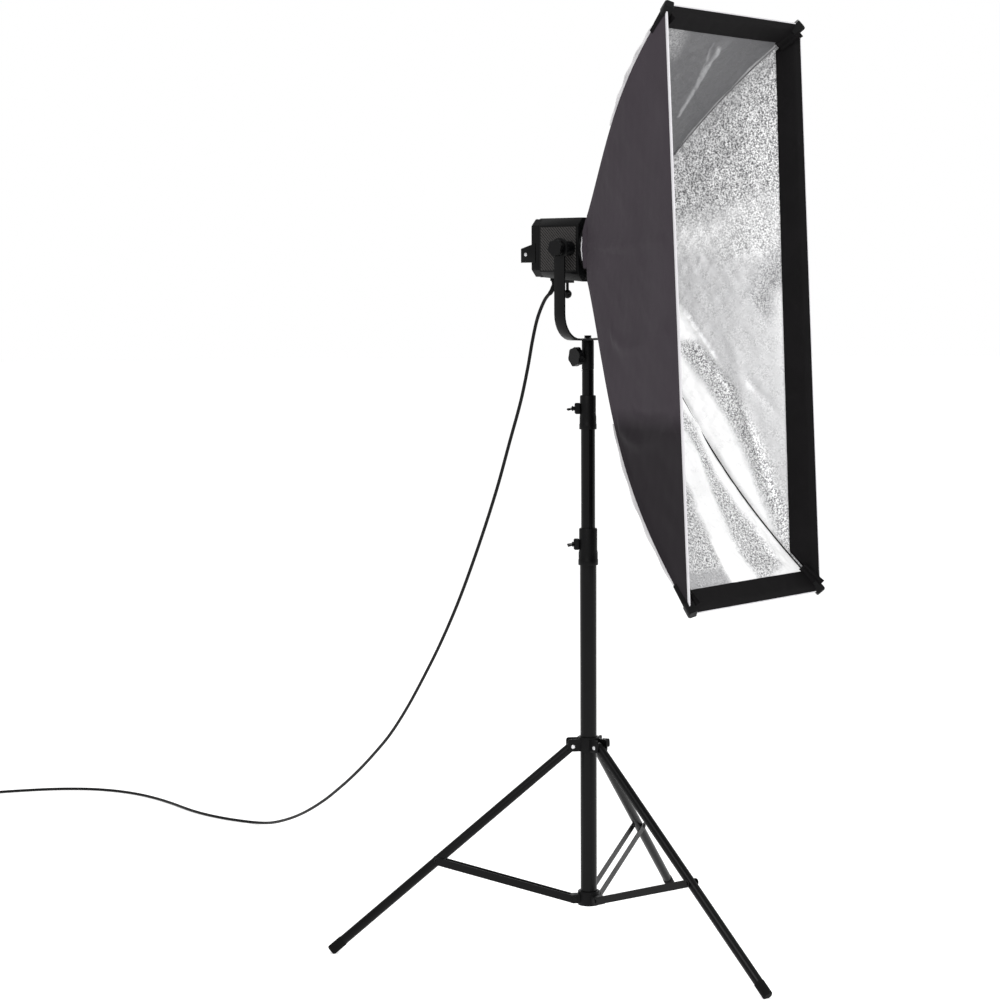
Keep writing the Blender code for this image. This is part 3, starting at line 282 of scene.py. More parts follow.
partFinishes = {
    "tube": ["base_tube", "mid_tube", "top_tube", "top_spigot", "leg_1", "leg_2", "leg_3"],
    "fitting": ["lower_bracket", "leg_collar", "base_clamp", "mid_clamp", "yoke_receiver", "mount_ring",
                "mount_adapter", "speedring"],
    "knob": ["collar_knob", "receiver_knob", "tilt_knob", "mount_latch",
             "dimmer_dial", "button_1", "button_2", "power_switch", "fan_rotor"],
    "rubber": ["mast_end_cap", "foot_1", "foot_2", "foot_3", "cord_gland", "cord_plug"],
    "steel": ["leg_pin_1", "leg_pin_2", "leg_pin_3"],
    "paintedSteel": ["brace_1", "brace_2", "brace_3", "yoke_strap", "rear_bracket", "yoke_bolt",
                     "pivot_bolt", "umbrella_screw", "speedring_screw"],
    "casing": ["lamp_casing", "rear_panel", "fan_frame"],
    "aluminium": ["heat_sink"],
    "emitter": ["led_chip"],
    "board": ["driver_board"],
}
for finishName, names in partFinishes.items():
    for partName in names:
        coats = nodes[partName].data.materials
        coats.clear()
        coats.append(finishes[finishName])
print("frame repainted")


def smoothStep(low, high, value):
    share = np.clip((value - low) / (high - low), 0, 1)
    return share * share * (3 - 2 * share)


def gridSurface(name, points, body, material, closedU=False, closedV=False, caps=False,
                values=None):
    # quads between neighbouring lines of a grid of points; a closed direction joins its last
    # line to its first, caps fill the two end lines, and values are painted on the points
    rows, columns = points.shape[:2]
    index = np.arange(rows * columns).reshape(rows, columns)
    if closedU:
        index = np.vstack([index, index[:1]])
    if closedV:
        index = np.hstack([index, index[:, :1]])
    quads = np.stack([index[:-1, :-1], index[1:, :-1], index[1:, 1:], index[:-1, 1:]], axis=-1).reshape(-1, 4)
    faces = quads.tolist()
    if caps:
        faces.append(index[0, :columns].tolist())
        faces.append(index[-1, :columns][::-1].tolist())
    mesh = bpy.data.meshes.new(name)
    mesh.from_pydata(points.reshape(-1, 3).tolist(), [], faces)
    for valueName, value in (values or {}).items():
        layer = mesh.attributes.new(valueName, "FLOAT", "POINT")
        layer.data.foreach_set("value", value.reshape(-1).astype(np.float32))
    return finishPiece(name, mesh, body, material)


def finishPiece(name, mesh, body, material):
    mesh.shade_smooth()
    mesh.materials.append(material)
    obj = bpy.data.objects.new(name, mesh)
    bpy.context.scene.collection.objects.link(obj)
    if body:
        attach(obj, body)
    return obj


def turnSharp(obj, degrees=35):
    obj.data.set_sharp_from_angle(angle=math.radians(degrees))
    return obj


def thicken(obj, thickness, offset=-1.0):
    wall = obj.modifiers.new("wall", "SOLIDIFY")
    wall.thickness = thickness
    wall.offset = offset
    return obj


def smoothPath(points, spacing):
    # evenly spaced points on a Catmull-Rom curve through the given ones
    points = np.array(points, dtype=float)
    ends = np.vstack([2 * points[0] - points[1], points, 2 * points[-1] - points[-2]])
    share = np.linspace(0, 1, 40, endpoint=False)[None, :, None]
    a, b, c, d = (ends[i : len(ends) - 3 + i][:, None, :] for i in range(4))
    square, cube = 2 * a - 5 * b + 4 * c - d, 3 * b - a - 3 * c + d
    fine = 0.5 * (2 * b + (c - a) * share + square * share**2 + cube * share**3)
    fine = np.vstack([fine.reshape(-1, 3), points[-1]])
    along = np.concatenate([[0], np.cumsum(np.linalg.norm(np.diff(fine, axis=0), axis=1))])
    goal = np.linspace(0, along[-1], max(2, int(round(along[-1] / spacing)) + 1))
    return np.stack([np.interp(goal, along, fine[:, k]) for k in range(3)], axis=1)


def pathLength(path):
    return float(np.linalg.norm(np.diff(path, axis=0), axis=1).sum())


def carry(path, profile, scale=None, lean=(0, 0, 1)):
    # a flat outline (across, up) carried square to a path, its up side near lean
    path = np.array(path)
    ahead = np.gradient(path, axis=0)
    ahead /= np.linalg.norm(ahead, axis=1)[:, None]
    lean = np.broadcast_to(np.array(lean, dtype=float), path.shape)
    across = np.cross(ahead, lean)
    across /= np.linalg.norm(across, axis=1)[:, None]
    up = np.cross(across, ahead)
    profile = np.array(profile)
    size = np.ones(len(path)) if scale is None else np.array(scale)
    return path[:, None] + size[:, None, None] * (
        profile[None, :, 0, None] * across[:, None] + profile[None, :, 1, None] * up[:, None]
    )


def roundOutline(radius, sides):
    angle = np.linspace(0, 2 * math.pi, sides + 1)[:-1]
    return np.stack([np.cos(angle) * radius, np.sin(angle) * radius], axis=1)


cord = {
    "diameter": 0.007,
    "spacing": 0.009,
    "coilMiddle": (0.1268, 2.2866),
    "coilTurns": 4.164,
    "coilPitch": 0.0070,
    "coilOuter": 0.047,
    "floorGap": 0.0003,
    "splits": (1.145, 0.93, 0.66, 0.12),  # heights where one length of cord meets the next
    "plugEnd": ((0.014, 0.0120), (0.036, 0.0135)),  # past the coil's middle, and height
}
# the hang from the lamp to the floor, then the run to the coil
cordRoute = [
    (-0.0100, 0.0745, 1.3290), (-0.0100, 0.0750, 1.3170), (-0.0075, 0.0850, 1.3035), (0.0004, 0.1073, 1.2870),
    (0.0088, 0.1319, 1.2510), (0.0149, 0.1498, 1.2050), (0.0208, 0.1669, 1.1490), (0.0295, 0.1924, 1.0800),
    (0.0428, 0.2312, 0.9980), (0.0593, 0.2795, 0.8960), (0.0810, 0.3428, 0.7810), (0.1073, 0.4195, 0.6560),
    (0.1341, 0.4980, 0.5470), (0.1620, 0.5794, 0.4490), (0.1831, 0.6409, 0.3810), (0.2054, 0.7061, 0.3180),
    (0.2297, 0.7771, 0.2620), (0.2530, 0.8452, 0.2130), (0.2773, 0.9162, 0.1670), (0.3091, 1.0089, 0.1130),
    (0.3463, 1.1177, 0.0620), (0.3849, 1.2303, 0.0240), (0.4160, 1.3211, 0.0055), (0.4090, 1.4010, 0.0040),
    (0.4120, 1.4830, 0.0038), (0.4270, 1.5650, 0.0038), (0.4580, 1.6640, 0.0038), (0.4820, 1.7620, 0.0038),
    (0.4890, 1.8620, 0.0038), (0.4680, 1.9580, 0.0038), (0.4140, 2.0400, 0.0038), (0.3370, 2.1040, 0.0038),
    (0.2520, 2.1570, 0.0038), (0.1700, 2.2060, 0.0038),
]


def coilPath(settings):
    # two flat spirals, the first winding in on the floor and the second winding out on top of it
    turns = np.linspace(0, settings["coilTurns"], int(settings["coilTurns"] * 48))
    angle = math.radians(-120.9) - 2 * math.pi * turns
    outer, pitch = settings["coilOuter"], settings["coilPitch"]
    inner = outer - 2 * pitch
    wayOut = (outer - inner) / (settings["coilTurns"] - 2.0)
    radius = np.where(turns < 2, outer - pitch * turns, inner + wayOut * (turns - 2))
    blend = smoothStep(1.9, 2.1, turns)
    radius = radius + 0.0006 * blend * (1 - blend)
    low = settings["diameter"] / 2 + settings["floorGap"]
    height = low + settings["diameter"] * smoothStep(1.72, 2.06, turns)
    centre = settings["coilMiddle"]
    return np.stack([centre[0] + np.cos(angle) * radius, centre[1] + np.sin(angle) * radius, height], axis=1)


def tubeAlong(name, path, radius, body, material, sides=16):
    curve = bpy.data.curves.new(name, "CURVE")
    curve.dimensions = "3D"
    curve.bevel_depth = radius
    curve.bevel_resolution = sides // 4
    curve.use_fill_caps = True
    spline = curve.splines.new("POLY")
    spline.points.add(len(path) - 1)
    spline.points.foreach_set("co", np.hstack([path, np.ones((len(path), 1))]).reshape(-1))
    holder = bpy.data.objects.new(name + "Line", curve)
    bpy.context.scene.collection.objects.link(holder)
    graph = bpy.context.evaluated_depsgraph_get()
    mesh = bpy.data.meshes.new_from_object(holder.evaluated_get(graph))
    bpy.data.objects.remove(holder, do_unlink=True)
    bpy.data.curves.remove(curve)
    mesh.name = name
    mesh.materials.clear()
    return finishPiece(name, mesh, body, material)


def layCord(settings):
    # lengths of cord cut at set heights down from the lamp, then one on the floor with the coil
    radius = settings["diameter"] / 2
    route = smoothPath(cordRoute, settings["spacing"])
    cuts = [int(np.argmax(route[:, 2] < z)) for z in settings["splits"]]
    coil = coilPath(settings)
    centre, outer = settings["coilMiddle"], settings["coilOuter"]
    tail = [(centre[0] - outer, centre[1] + past, height) for past, height in settings["plugEnd"]]
    rest = smoothPath(np.vstack([route[cuts[3] :: 6], coil[::4], tail]), settings["spacing"])
    lengths = [route[start : end + 1] for start, end in zip([0, *cuts], cuts)]
    bodies = ["lamp", "yoke", "top_section", "mid_section", "base"]
    joints = list(zip(bodies[1:], bodies))
    for number, (path, (lower, upper)) in enumerate(zip(lengths, joints), 1):
        path = path + mast
        piece = tubeAlong(f"cordLength{number}", path, radius, None, finishes["cord"])
        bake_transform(piece)
    path = rest + mast
    piece = tubeAlong("cordCoiled", path, radius, "base", finishes["cord"])
    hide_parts("cord_run", "cord_coil")
    total = sum(pathLength(p) for p in lengths) + pathLength(path)
    print(f"cord laid, {total:.2f} m")


layCord(cord)

softbox = {
    "halfWidth": 0.225,
    "top": 0.4295,
    "bottom": -0.6692,
    "frontAtAxis": -0.3651,
    "frontLean": 2.75,
    "ringHalf": (0.060, 0.062),
    "rearY": -0.043,
    "bowTop": 0.021,
    "bowBottom": 0.040,
    "bowSkew": 1.2,
}
cornerSides = ((-1, True), (1, True), (1, False), (-1, False))  # side, and whether at the top
panelEdges = {  # two seams, each a side and top or bottom
    "left": ((-1, False), (-1, True)),
    "right": ((1, False), (1, True)),
    "top": ((-1, True), (1, True)),
    "bottom": ((-1, False), (1, False)),
}


def seam(side, top, share):
    # a seam bows off its straight line by bow * sin(pi * share to the power of the skew)
    box = softbox
    end = np.array([side * box["halfWidth"], 0, box["top"] if top else box["bottom"]])
    end[1] = box["frontAtAxis"] + end[2] * math.tan(math.radians(box["frontLean"]))
    start = np.array([side * box["ringHalf"][0], box["rearY"], box["ringHalf"][1] * (1 if top else -1)])
    line = end - start
    reach = np.array([line[0], 0, line[2]])
    away = reach / np.linalg.norm(reach) * -line[1] + np.array([0, 1, 0]) * np.linalg.norm(reach)
    away /= np.linalg.norm(away)
    share = np.asarray(share, dtype=float)
    depth = box["bowTop"] if top else box["bowBottom"]
    bow = depth * np.sin(math.pi * np.clip(share, 0, 1) ** box["bowSkew"])
    return lampMiddle + start + share[..., None] * line + bow[..., None] * away


def panelFrame(panel, along, across):
    # the flat panel between its two seams, its outward direction, its width and its length
    first, second = (seam(*edge, along) for edge in panelEdges[panel])
    points = first[:, None] + across[None, :, None] * (second - first)[:, None]
    ahead = np.gradient(points, axis=0)
    aside = np.gradient(points, axis=1)
    away = np.cross(ahead, aside)
    away /= np.linalg.norm(away, axis=2)[..., None]
    outward = points - (lampMiddle + [0, -0.2, -0.12])
    away *= np.sign((away * outward).sum(axis=2).mean())
    span = np.linalg.norm(second - first, axis=1)
    reach = pathLength(points[:, len(across) // 2]) / (along[-1] - along[0])
    return points, away, span, reach


def creases(along, across, span, reach, lines):
    # ridges with a bell section round straight lines, fading out at both ends of each
    u, v = np.meshgrid(along, across, indexing="ij")
    total = np.zeros_like(u)
    for u0, v0, u1, v1, width, height in lines:
        run = np.array([(u1 - u0), (v1 - v0)])
        t = np.clip(((u - u0) * run[0] + (v - v0) * run[1]) / (run @ run), 0, 1)
        gap = np.hypot((u - u0 - t * run[0]) * reach, (v - v0 - t * run[1]) * span[:, None])
        fade = np.clip(np.sin(math.pi * (0.12 + 0.76 * t)) * 1.4, 0, 1)
        total += height * np.exp(-((gap / width) ** 2)) * fade
    return total


def drift(along, across, span, reach, pitch, height, seed):
    # a sum of slow sine waves in random directions, in metres across the cloth
    chance = np.random.default_rng(seed)
    x = along[:, None] * reach + 0 * across[None]
    y = (across[None] - 0.5) * span[:, None]
    total = np.zeros_like(x)
    for _ in range(9):
        angle, phase = chance.uniform(0, 2 * math.pi, 2)
        size = pitch * chance.uniform(0.6, 1.9)
        total += np.sin((x * math.cos(angle) + y * math.sin(angle)) * 2 * math.pi / size + phase)
    return height * total / 3


def edgeFade(along, across, span, reach, depth, front=0.010):
    # nothing moves at the seams or the front hem, and the cloth is free a little way in from them
    side = np.minimum(across, 1 - across)[None] * span[:, None]
    end = ((1 - along) * reach)[:, None] + 0 * side
    return smoothStep(0, depth, side) * smoothStep(0, front, end)


def sagShape(along, across):
    # deepest along the middle, level with the seams, the ring and the hem
    belly = np.sin(math.pi * across)[None] * smoothStep(0.05, 0.5, along)[:, None]
    return belly * smoothStep(0, 0.35, 1 - along)[:, None]


outerCloth = {
    "fabric": 0.0007,
    "start": {"left": 0.0, "right": 0.0, "top": 0.0, "bottom": 0.032},
    "sag": {"left": 0.012, "right": 0.005, "top": 0.006, "bottom": 0.006},
    "creases": {
        "left": [
            (0.05, 0.57, 0.50, 0.60, 0.010, 0.0046), (0.40, 0.595, 0.89, 0.62, 0.012, 0.0042),
            (0.375, 0.26, 0.90, 0.455, 0.013, 0.0050), (0.497, 0.06, 0.948, 0.295, 0.012, 0.0060),
            (0.10, 0.555, 0.60, 0.585, 0.006, -0.0014), (0.62, 0.20, 0.95, 0.33, 0.007, -0.0022),
        ],
        "right": [(0.1, 0.5, 0.9, 0.55, 0.012, 0.003), (0.3, 0.3, 0.9, 0.2, 0.014, 0.003)],
        "top": [(0.2, 0.4, 0.9, 0.5, 0.012, 0.002), (0.3, 0.7, 0.9, 0.8, 0.012, -0.002)],
        "bottom": [(0.2, 0.5, 0.9, 0.4, 0.012, 0.002), (0.3, 0.2, 0.9, 0.3, 0.012, -0.002)],
    },
}


nylonFinish = {
    "dark": (0.0330, 0.0270, 0.0330),
    "light": (0.0400, 0.0330, 0.0400),
    # painted shade: below these heights the cloth's colour is darkened
    "paintedShadeBetween": (1.045, 1.085),  # heights where the shaded lower part ends
    "shade": 0.40,
    "threads": 330.0,
}


def nylonCloth(settings):
    # slow blotches, painted shade darkening the lower part, a fine crumple and level threads
    material, tree, shader = newMaterial("charcoalNylon", settings["dark"], 0.62, 0, 0.07)
    place = objectPlace(tree)
    slow = noise(tree, place, 5.5, 5.0, 0.6)
    colour = ramp(tree, slow, [(0.30, settings["dark"]), (0.70, settings["light"])])
    height = nodeOf(tree, "ShaderNodeSeparateXYZ")
    tree.links.new(place, height.inputs["Vector"])
    # painted shade: the colour is multiplied down towards the lower part
    lower = nodeOf(tree, "ShaderNodeMapRange")
    for socket, value in zip(list(lower.inputs)[1:5], (*settings["paintedShadeBetween"], settings["shade"], 1.0)):
        socket.default_value = value
    tree.links.new(height.outputs["Z"], lower.inputs["Value"])
    shade = nodeOf(tree, "ShaderNodeCombineColor")
    for channel in ("Red", "Green", "Blue"):
        tree.links.new(lower.outputs["Result"], shade.inputs[channel])
    paintedShadeApplied = mixColour(tree, 1.0, colour, shade.outputs["Color"], "MULTIPLY")
    tree.links.new(paintedShadeApplied, shader.inputs["Base Color"])
    shader.inputs["Sheen Weight"].default_value = 0.02
    crumple = noise(tree, place, 38.0, 5.0, 0.6)
    first = nodeOf(tree, "ShaderNodeBump")
    first.inputs["Distance"].default_value = 0.0007
    first.inputs["Strength"].default_value = 0.45
    tree.links.new(crumple, first.inputs["Height"])
    weave = nodeOf(tree, "ShaderNodeTexWave", bands_direction="Z")
    weave.inputs["Scale"].default_value = settings["threads"]
    tree.links.new(place, weave.inputs["Vector"])
    relief(tree, shader, weave.outputs["Fac"], 0.00008, 0.35, first.outputs["Normal"])
    return material


def paintedLightSilverCloth():
    # painted light: where the foil share is 0, smooth cloth painted from dark to white by a painted light and
    # shade value. Where it is 1, crinkled foil with painted salt-and-pepper glints. The brightest painted parts
    # also glow.
    material, tree, shader = newMaterial("silverLiningPaintedLight", (0.8, 0.8, 0.8), 0.42, 0.15, 0.5)
    place = objectPlace(tree)
    grain = noise(tree, place, 290.0, 3.0, 0.75)
    # painted glints: the foil's dark and white specks stand in for reflections
    paintedGlints = ramp(tree, grain, [(0.41, (0.12, 0.12, 0.125)), (0.49, (0.52, 0.52, 0.53)), (0.565, (1.0,))])
    paintedLight = attributeOf(tree, "paintedLight")
    broken = maths(tree, "MULTIPLY_ADD", noise(tree, place, 60.0, 4.0), 0.9, -0.45)
    share = maths(tree, "ADD", attributeOf(tree, "crinkleAndPaintedGlints"), broken, clamp=True)
    # painted light and shade on the smooth cloth
    paintedLitCloth = ramp(tree, paintedLight, [(0.0, (0.10, 0.10, 0.105)), (0.5, (0.42, 0.42, 0.43)), (1.0, (0.93,))])
    paintedLightOnGlints = ramp(tree, paintedLight, [(0.0, (0.16,)), (0.5, (0.90,)), (1.0, (1.0,))])
    paintedGlintsInLight = mixColour(tree, 1.0, paintedGlints, paintedLightOnGlints, "MULTIPLY")
    tree.links.new(mixColour(tree, share, paintedLitCloth, paintedGlintsInLight), shader.inputs["Base Color"])
    # painted glow: the most brightly painted parts also emit a little light
    paintedGlow = ramp(tree, paintedLight, [(0.80, (0.0,)), (1.0, (0.13,))])
    tree.links.new(paintedGlow, shader.inputs["Emission Color"])
    shader.inputs["Emission Strength"].default_value = 1.0
    crinkle = nodeOf(tree, "ShaderNodeTexVoronoi", feature="F1")
    crinkle.inputs["Scale"].default_value = 210.0
    tree.links.new(place, crinkle.inputs["Vector"])
    depth = maths(tree, "MULTIPLY", crinkle.outputs["Distance"], maths(tree, "MULTIPLY_ADD", share, 0.9, 0.1))
    relief(tree, shader, depth, 0.0011, 0.8)
    return material


finishes["nylon"] = nylonCloth(nylonFinish)
finishes["silver"] = paintedLightSilverCloth()


def patch(along, across, span, reach, corners, soft):
    # 1 inside a polygon of (along, across) corners, fading out over a soft edge in metres
    u, v = np.meshgrid(along, across, indexing="ij")
    x, y = u * reach, (v - 0.5) * span[:, None]
    corners = np.array(corners)
    width = np.interp(corners[:, 0], along, span)
    px, py = corners[:, 0] * reach, (corners[:, 1] - 0.5) * width
    gap = np.full_like(x, 9.0)
    inside = np.zeros(x.shape, bool)
    for k in range(len(px)):
        ax, ay, bx, by = px[k - 1], py[k - 1], px[k], py[k]
        runX, runY = bx - ax, by - ay
        t = np.clip(((x - ax) * runX + (y - ay) * runY) / (runX**2 + runY**2 + 1e-12), 0, 1)
        gap = np.minimum(gap, np.hypot(x - ax - t * runX, y - ay - t * runY))
        if ay != by:
            inside ^= ((ay > y) != (by > y)) & (x < ax + (y - ay) * runX / runY)
    return smoothStep(-soft, soft, np.where(inside, gap, -gap))


def outerLift(panel, along, across, span, reach, seed):
    # how far the outer cloth stands off its flat panel
    fade = edgeFade(along, across, span, reach, 0.030)
    lift = creases(along, across, span, reach, outerCloth["creases"][panel])
    lift += drift(along, across, span, reach, 0.11, 0.0007, seed + 3)
    lift += drift(along, across, span, reach, 0.035, 0.0002, seed + 31)
    lift -= outerCloth["sag"][panel] * sagShape(along, across)
    return lift * fade


def sewOuter(settings):
    for seed, panel in enumerate(panelEdges):
        along = np.linspace(settings["start"][panel], 1, 150)
        across = np.linspace(0, 1, 170 if panel in ("left", "right") else 110)
        points, away, span, reach = panelFrame(panel, along, across)
        points = points + outerLift(panel, along, across, span, reach, seed)[..., None] * away
        obj = gridSurface(f"outerCloth{panel.title()}", points, "softbox", finishes["nylon"])
        thicken(obj, settings["fabric"], 0.0)
        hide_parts(f"{panel}_panel")


sewOuter(outerCloth)

lining = {
    "fabric": 0.0004,
    "inset": 0.0035,
    "start": {"left": 0.02, "right": 0.02, "top": 0.02, "bottom": 0.040},
    "sag": {"left": 0.014, "right": 0.007, "top": 0.008, "bottom": 0.008},
    "creases": {
        "right": [
            (0.32, 0.53, 0.83, 0.59, 0.012, 0.0045), (0.32, 0.35, 0.557, 0.273, 0.011, 0.0060),
            (0.325, 0.18, 0.557, 0.262, 0.012, -0.0050), (0.46, 0.28, 0.667, 0.233, 0.011, -0.0045),
            (0.667, 0.233, 0.88, 0.022, 0.014, 0.0060), (0.62, 0.39, 0.78, 0.10, 0.020, 0.0050),
            (0.75, 0.49, 0.92, 0.595, 0.014, -0.0040), (0.40, 0.80, 0.90, 0.86, 0.016, 0.0030),
            (0.70, 0.30, 0.95, 0.26, 0.014, -0.0040),
        ],
        "bottom": [
            (0.375, 0.95, 0.90, 0.86, 0.011, 0.0050), (0.48, 0.76, 0.92, 0.453, 0.012, 0.0060),
            (0.573, 0.585, 0.90, 0.43, 0.012, -0.0040), (0.66, 0.465, 0.915, 0.09, 0.014, 0.0050),
            (0.80, 0.665, 0.90, 0.91, 0.012, -0.0040),
        ],
        "top": [
            (0.517, 0.633, 0.845, 0.545, 0.010, 0.0045), (0.64, 0.595, 0.86, 0.50, 0.008, -0.0035),
            (0.40, 0.30, 0.90, 0.25, 0.012, 0.0040), (0.763, 0.517, 0.90, 0.62, 0.010, 0.0040),
        ],
        "left": [
            (0.2, 0.4, 0.9, 0.5, 0.014, 0.004), (0.3, 0.7, 0.9, 0.6, 0.014, -0.004),
            (0.4, 0.2, 0.9, 0.1, 0.014, 0.004),
        ],
    },
    # painted light and shade, share of crinkled foil with painted glints
    "base": {"right": (0.68, 0.16), "bottom": (0.94, 0.0), "top": (0.030, 0.10), "left": (0.6, 0.8)},
    # patches of painted light and shade: polygon, soft edge, painted light level, share of crinkled foil with
    # painted glints
    "paint": {  # polygon, soft edge, glow, speckle
        "right": [
            ([(0.0, 0.64), (1.0, 0.70), (1.0, 1.0), (0.0, 1.0)], 0.050, 0.50, 1.0),
            ([(0.2, 0.565), (0.85, 0.605), (0.80, 0.70), (0.2, 0.72)], 0.040, 0.90, 0.42),
            ([(0.60, 0.58), (0.95, 0.61), (0.95, 0.72), (0.65, 0.70)], 0.030, 0.80, 0.70),
            ([(0.95, 0.61), (0.83, 0.60), (0.72, 0.50), (0.80, 0.46), (0.95, 0.56)], 0.022, 0.42, 0.55),
            ([(0.84, 0.52), (0.97, 0.54), (0.97, 0.25), (0.90, 0.20)], 0.020, 0.86, 0.12),
            ([(0.25, 0.42), (0.57, 0.270), (0.30, 0.17)], 0.010, 1.0, 0.0),
            ([(0.25, 0.17), (0.62, 0.17), (0.86, 0.0), (0.25, 0.0)], 0.018, 0.97, 0.0),
            ([(0.30, 0.17), (0.45, 0.285), (0.64, 0.255), (0.78, 0.17), (0.94, 0.05), (0.94, 0.0),
              (0.86, 0.0), (0.70, 0.13), (0.50, 0.19)], 0.014, 0.66, 0.95),
        ],
        "bottom": [
            ([(0.30, 0.80), (0.45, 0.90), (0.62, 0.83), (0.90, 0.86), (0.95, 0.62), (0.80, 0.62),
              (0.58, 0.76)], 0.015, 0.66, 1.0),
            ([(0.40, 0.52), (0.62, 0.47), (0.90, 0.40), (0.96, 0.0), (0.40, 0.0)], 0.020, 0.60, 0.95),
            ([(0.885, 0.0), (0.885, 0.40), (0.97, 0.44), (0.97, 0.0)], 0.008, 0.46, 0.35),
            ([(0.80, 0.43), (0.98, 0.38), (0.98, 0.52), (0.80, 0.56)], 0.012, 1.0, 0.0),
        ],
        "top": [
            ([(0.50, 0.650), (0.845, 0.560), (0.85, 0.535), (0.50, 0.620)], 0.003, 0.30, 0.1),
            ([(0.64, 0.605), (0.86, 0.500), (0.86, 0.490), (0.64, 0.590)], 0.003, 0.22, 0.1),
            ([(0.0, 0.975), (1.0, 0.975), (1.0, 1.0), (0.0, 1.0)], 0.002, 0.55, 0.0),
            ([(0.70, 0.0), (0.95, 0.0), (0.95, 0.22), (0.78, 0.25)], 0.030, 0.22, 0.6),
        ],
        "left": [([(0.0, 0.5), (1.0, 0.5), (1.0, 0.0), (0.0, 0.0)], 0.05, 0.85, 0.3)],
    },
}


def sewLining(settings):
    # inside the outer cloth by the inset, and never through it
    for seed, panel in enumerate(panelEdges):
        along = np.linspace(settings["start"][panel], 0.997, 190)
        across = np.linspace(0.002, 0.998, 240 if panel in ("left", "right") else 130)
        points, away, span, reach = panelFrame(panel, along, across)
        fade = edgeFade(along, across, span, reach, 0.020, 0.012)
        free = smoothStep(0.045, 0.085, (1 - along) * reach)[:, None]
        lift = -creases(along, across, span, reach, settings["creases"][panel])
        lift += drift(along, across, span, reach, 0.09, 0.0016, seed + 5)
        lift += drift(along, across, span, reach, 0.022, 0.0006, seed + 51)
        lift += drift(along, across, span, reach, 0.009, 0.00025, seed + 77)
        lift *= free
        lift -= settings["sag"][panel] * sagShape(along, across)
        cover = outerLift(panel, along, across, span, reach, seed)
        lift = np.minimum(lift * fade, cover + settings["inset"] - 0.0013)
        hold = 0.3 + 0.7 * smoothStep(0, 0.012, (1 - along) * reach)
        points = points + (lift - settings["inset"] * hold[:, None])[..., None] * away
        # painted light and shade and painted glints, set for each panel and then in patches
        paintedLight, crinkleAndPaintedGlints = (np.full(points.shape[:2], value) for value in settings["base"][panel])
        for corners, soft, paintedLightLevel, grain in settings["paint"][panel]:
            share = patch(along, across, span, reach, corners, soft)
            paintedLight = paintedLight + (paintedLightLevel - paintedLight) * share
            crinkleAndPaintedGlints = crinkleAndPaintedGlints + (grain - crinkleAndPaintedGlints) * share
        obj = gridSurface(f"lining{panel.title()}", points, "softbox", finishes["silver"],
                          values={"crinkleAndPaintedGlints": crinkleAndPaintedGlints, "paintedLight": paintedLight})
        thicken(obj, settings["fabric"], 0.0)


sewLining(lining)
print("cloth sewn")


hem = {
    "bandDepth": 0.046,
    "bandInset": 0.0052,
    "bandThickness": 0.0006,
    "tapeDepth": 0.0048,
    "tapeOut": 0.0012,
    "tapeIn": 0.0014,
    "cornerRadius": 0.004,
}


def sewHem(settings):
    # a band inside the mouth on each side, and a piping of folded tape right round it
    for panel in panelEdges:
        _, _, _, reach = panelFrame(panel, np.linspace(0, 1, 40), np.linspace(0, 1, 9))
        along = np.linspace(1 - settings["bandDepth"] / reach, 1.0, 24)
        across = np.linspace(0.012, 0.988, 160)
        points, away, span, _ = panelFrame(panel, along, across)
        wave = drift(along, across, span, reach, 0.06, 0.0004, 7)
        wave *= smoothStep(0, 0.3, (1 - along) / (1 - along[0]))[:, None]
        fade = edgeFade(along, across, span, reach, 0.020, 0.012)
        inset = 0.0012 + (settings["bandInset"] - 0.0012) * smoothStep(0, 0.012, (1 - along) * reach)[:, None]
        sag = lining["sag"][panel] * sagShape(along, across) * fade
        points = points - (inset + np.abs(wave) + sag)[..., None] * away
        band = gridSurface(f"hemBand{panel.title()}", points, "softbox", finishes["band"])
        thicken(band, settings["bandThickness"], 0.0)
    corners = [seam(side, top, np.array([1.0]))[0] for side, top in cornerSides[::-1]]
    loop = roundedLoop(np.array(corners), settings["cornerRadius"], 0.012)
    centre = loop.mean(axis=0)
    away = loop - centre
    lean = math.radians(softbox["frontLean"])
    face = np.array([0, -math.cos(lean), math.sin(lean)])
    ahead = np.roll(loop, -1, axis=0) - np.roll(loop, 1, axis=0)
    ahead /= np.linalg.norm(ahead, axis=1)[:, None]
    outward = np.cross(ahead, face)
    outward *= np.sign((outward * away).sum(axis=1))[:, None]
    back = -face - 0.45 * outward
    back /= np.linalg.norm(back, axis=1)[:, None]
    square = np.cross(ahead, back)
    square *= np.sign((square * outward).sum(axis=1))[:, None]
    depth, out, inner = settings["tapeDepth"], settings["tapeOut"], settings["tapeIn"]
    outline = [(-0.0012, out - 0.0006), (-0.0008, out), (depth, out), (depth + 0.0003, out - 0.0005),
               (depth, out - 0.0009), (depth, -inner + 0.0009), (depth + 0.0003, -inner + 0.0004),
               (depth, -inner), (-0.0008, -inner), (-0.0012, -inner + 0.0006)]
    points = np.stack([loop + a * back + b * square for a, b in outline], axis=1)
    gridSurface("mouthPiping", points[:, ::-1], "softbox", finishes["whiteTape"],
                closedU=True, closedV=True)


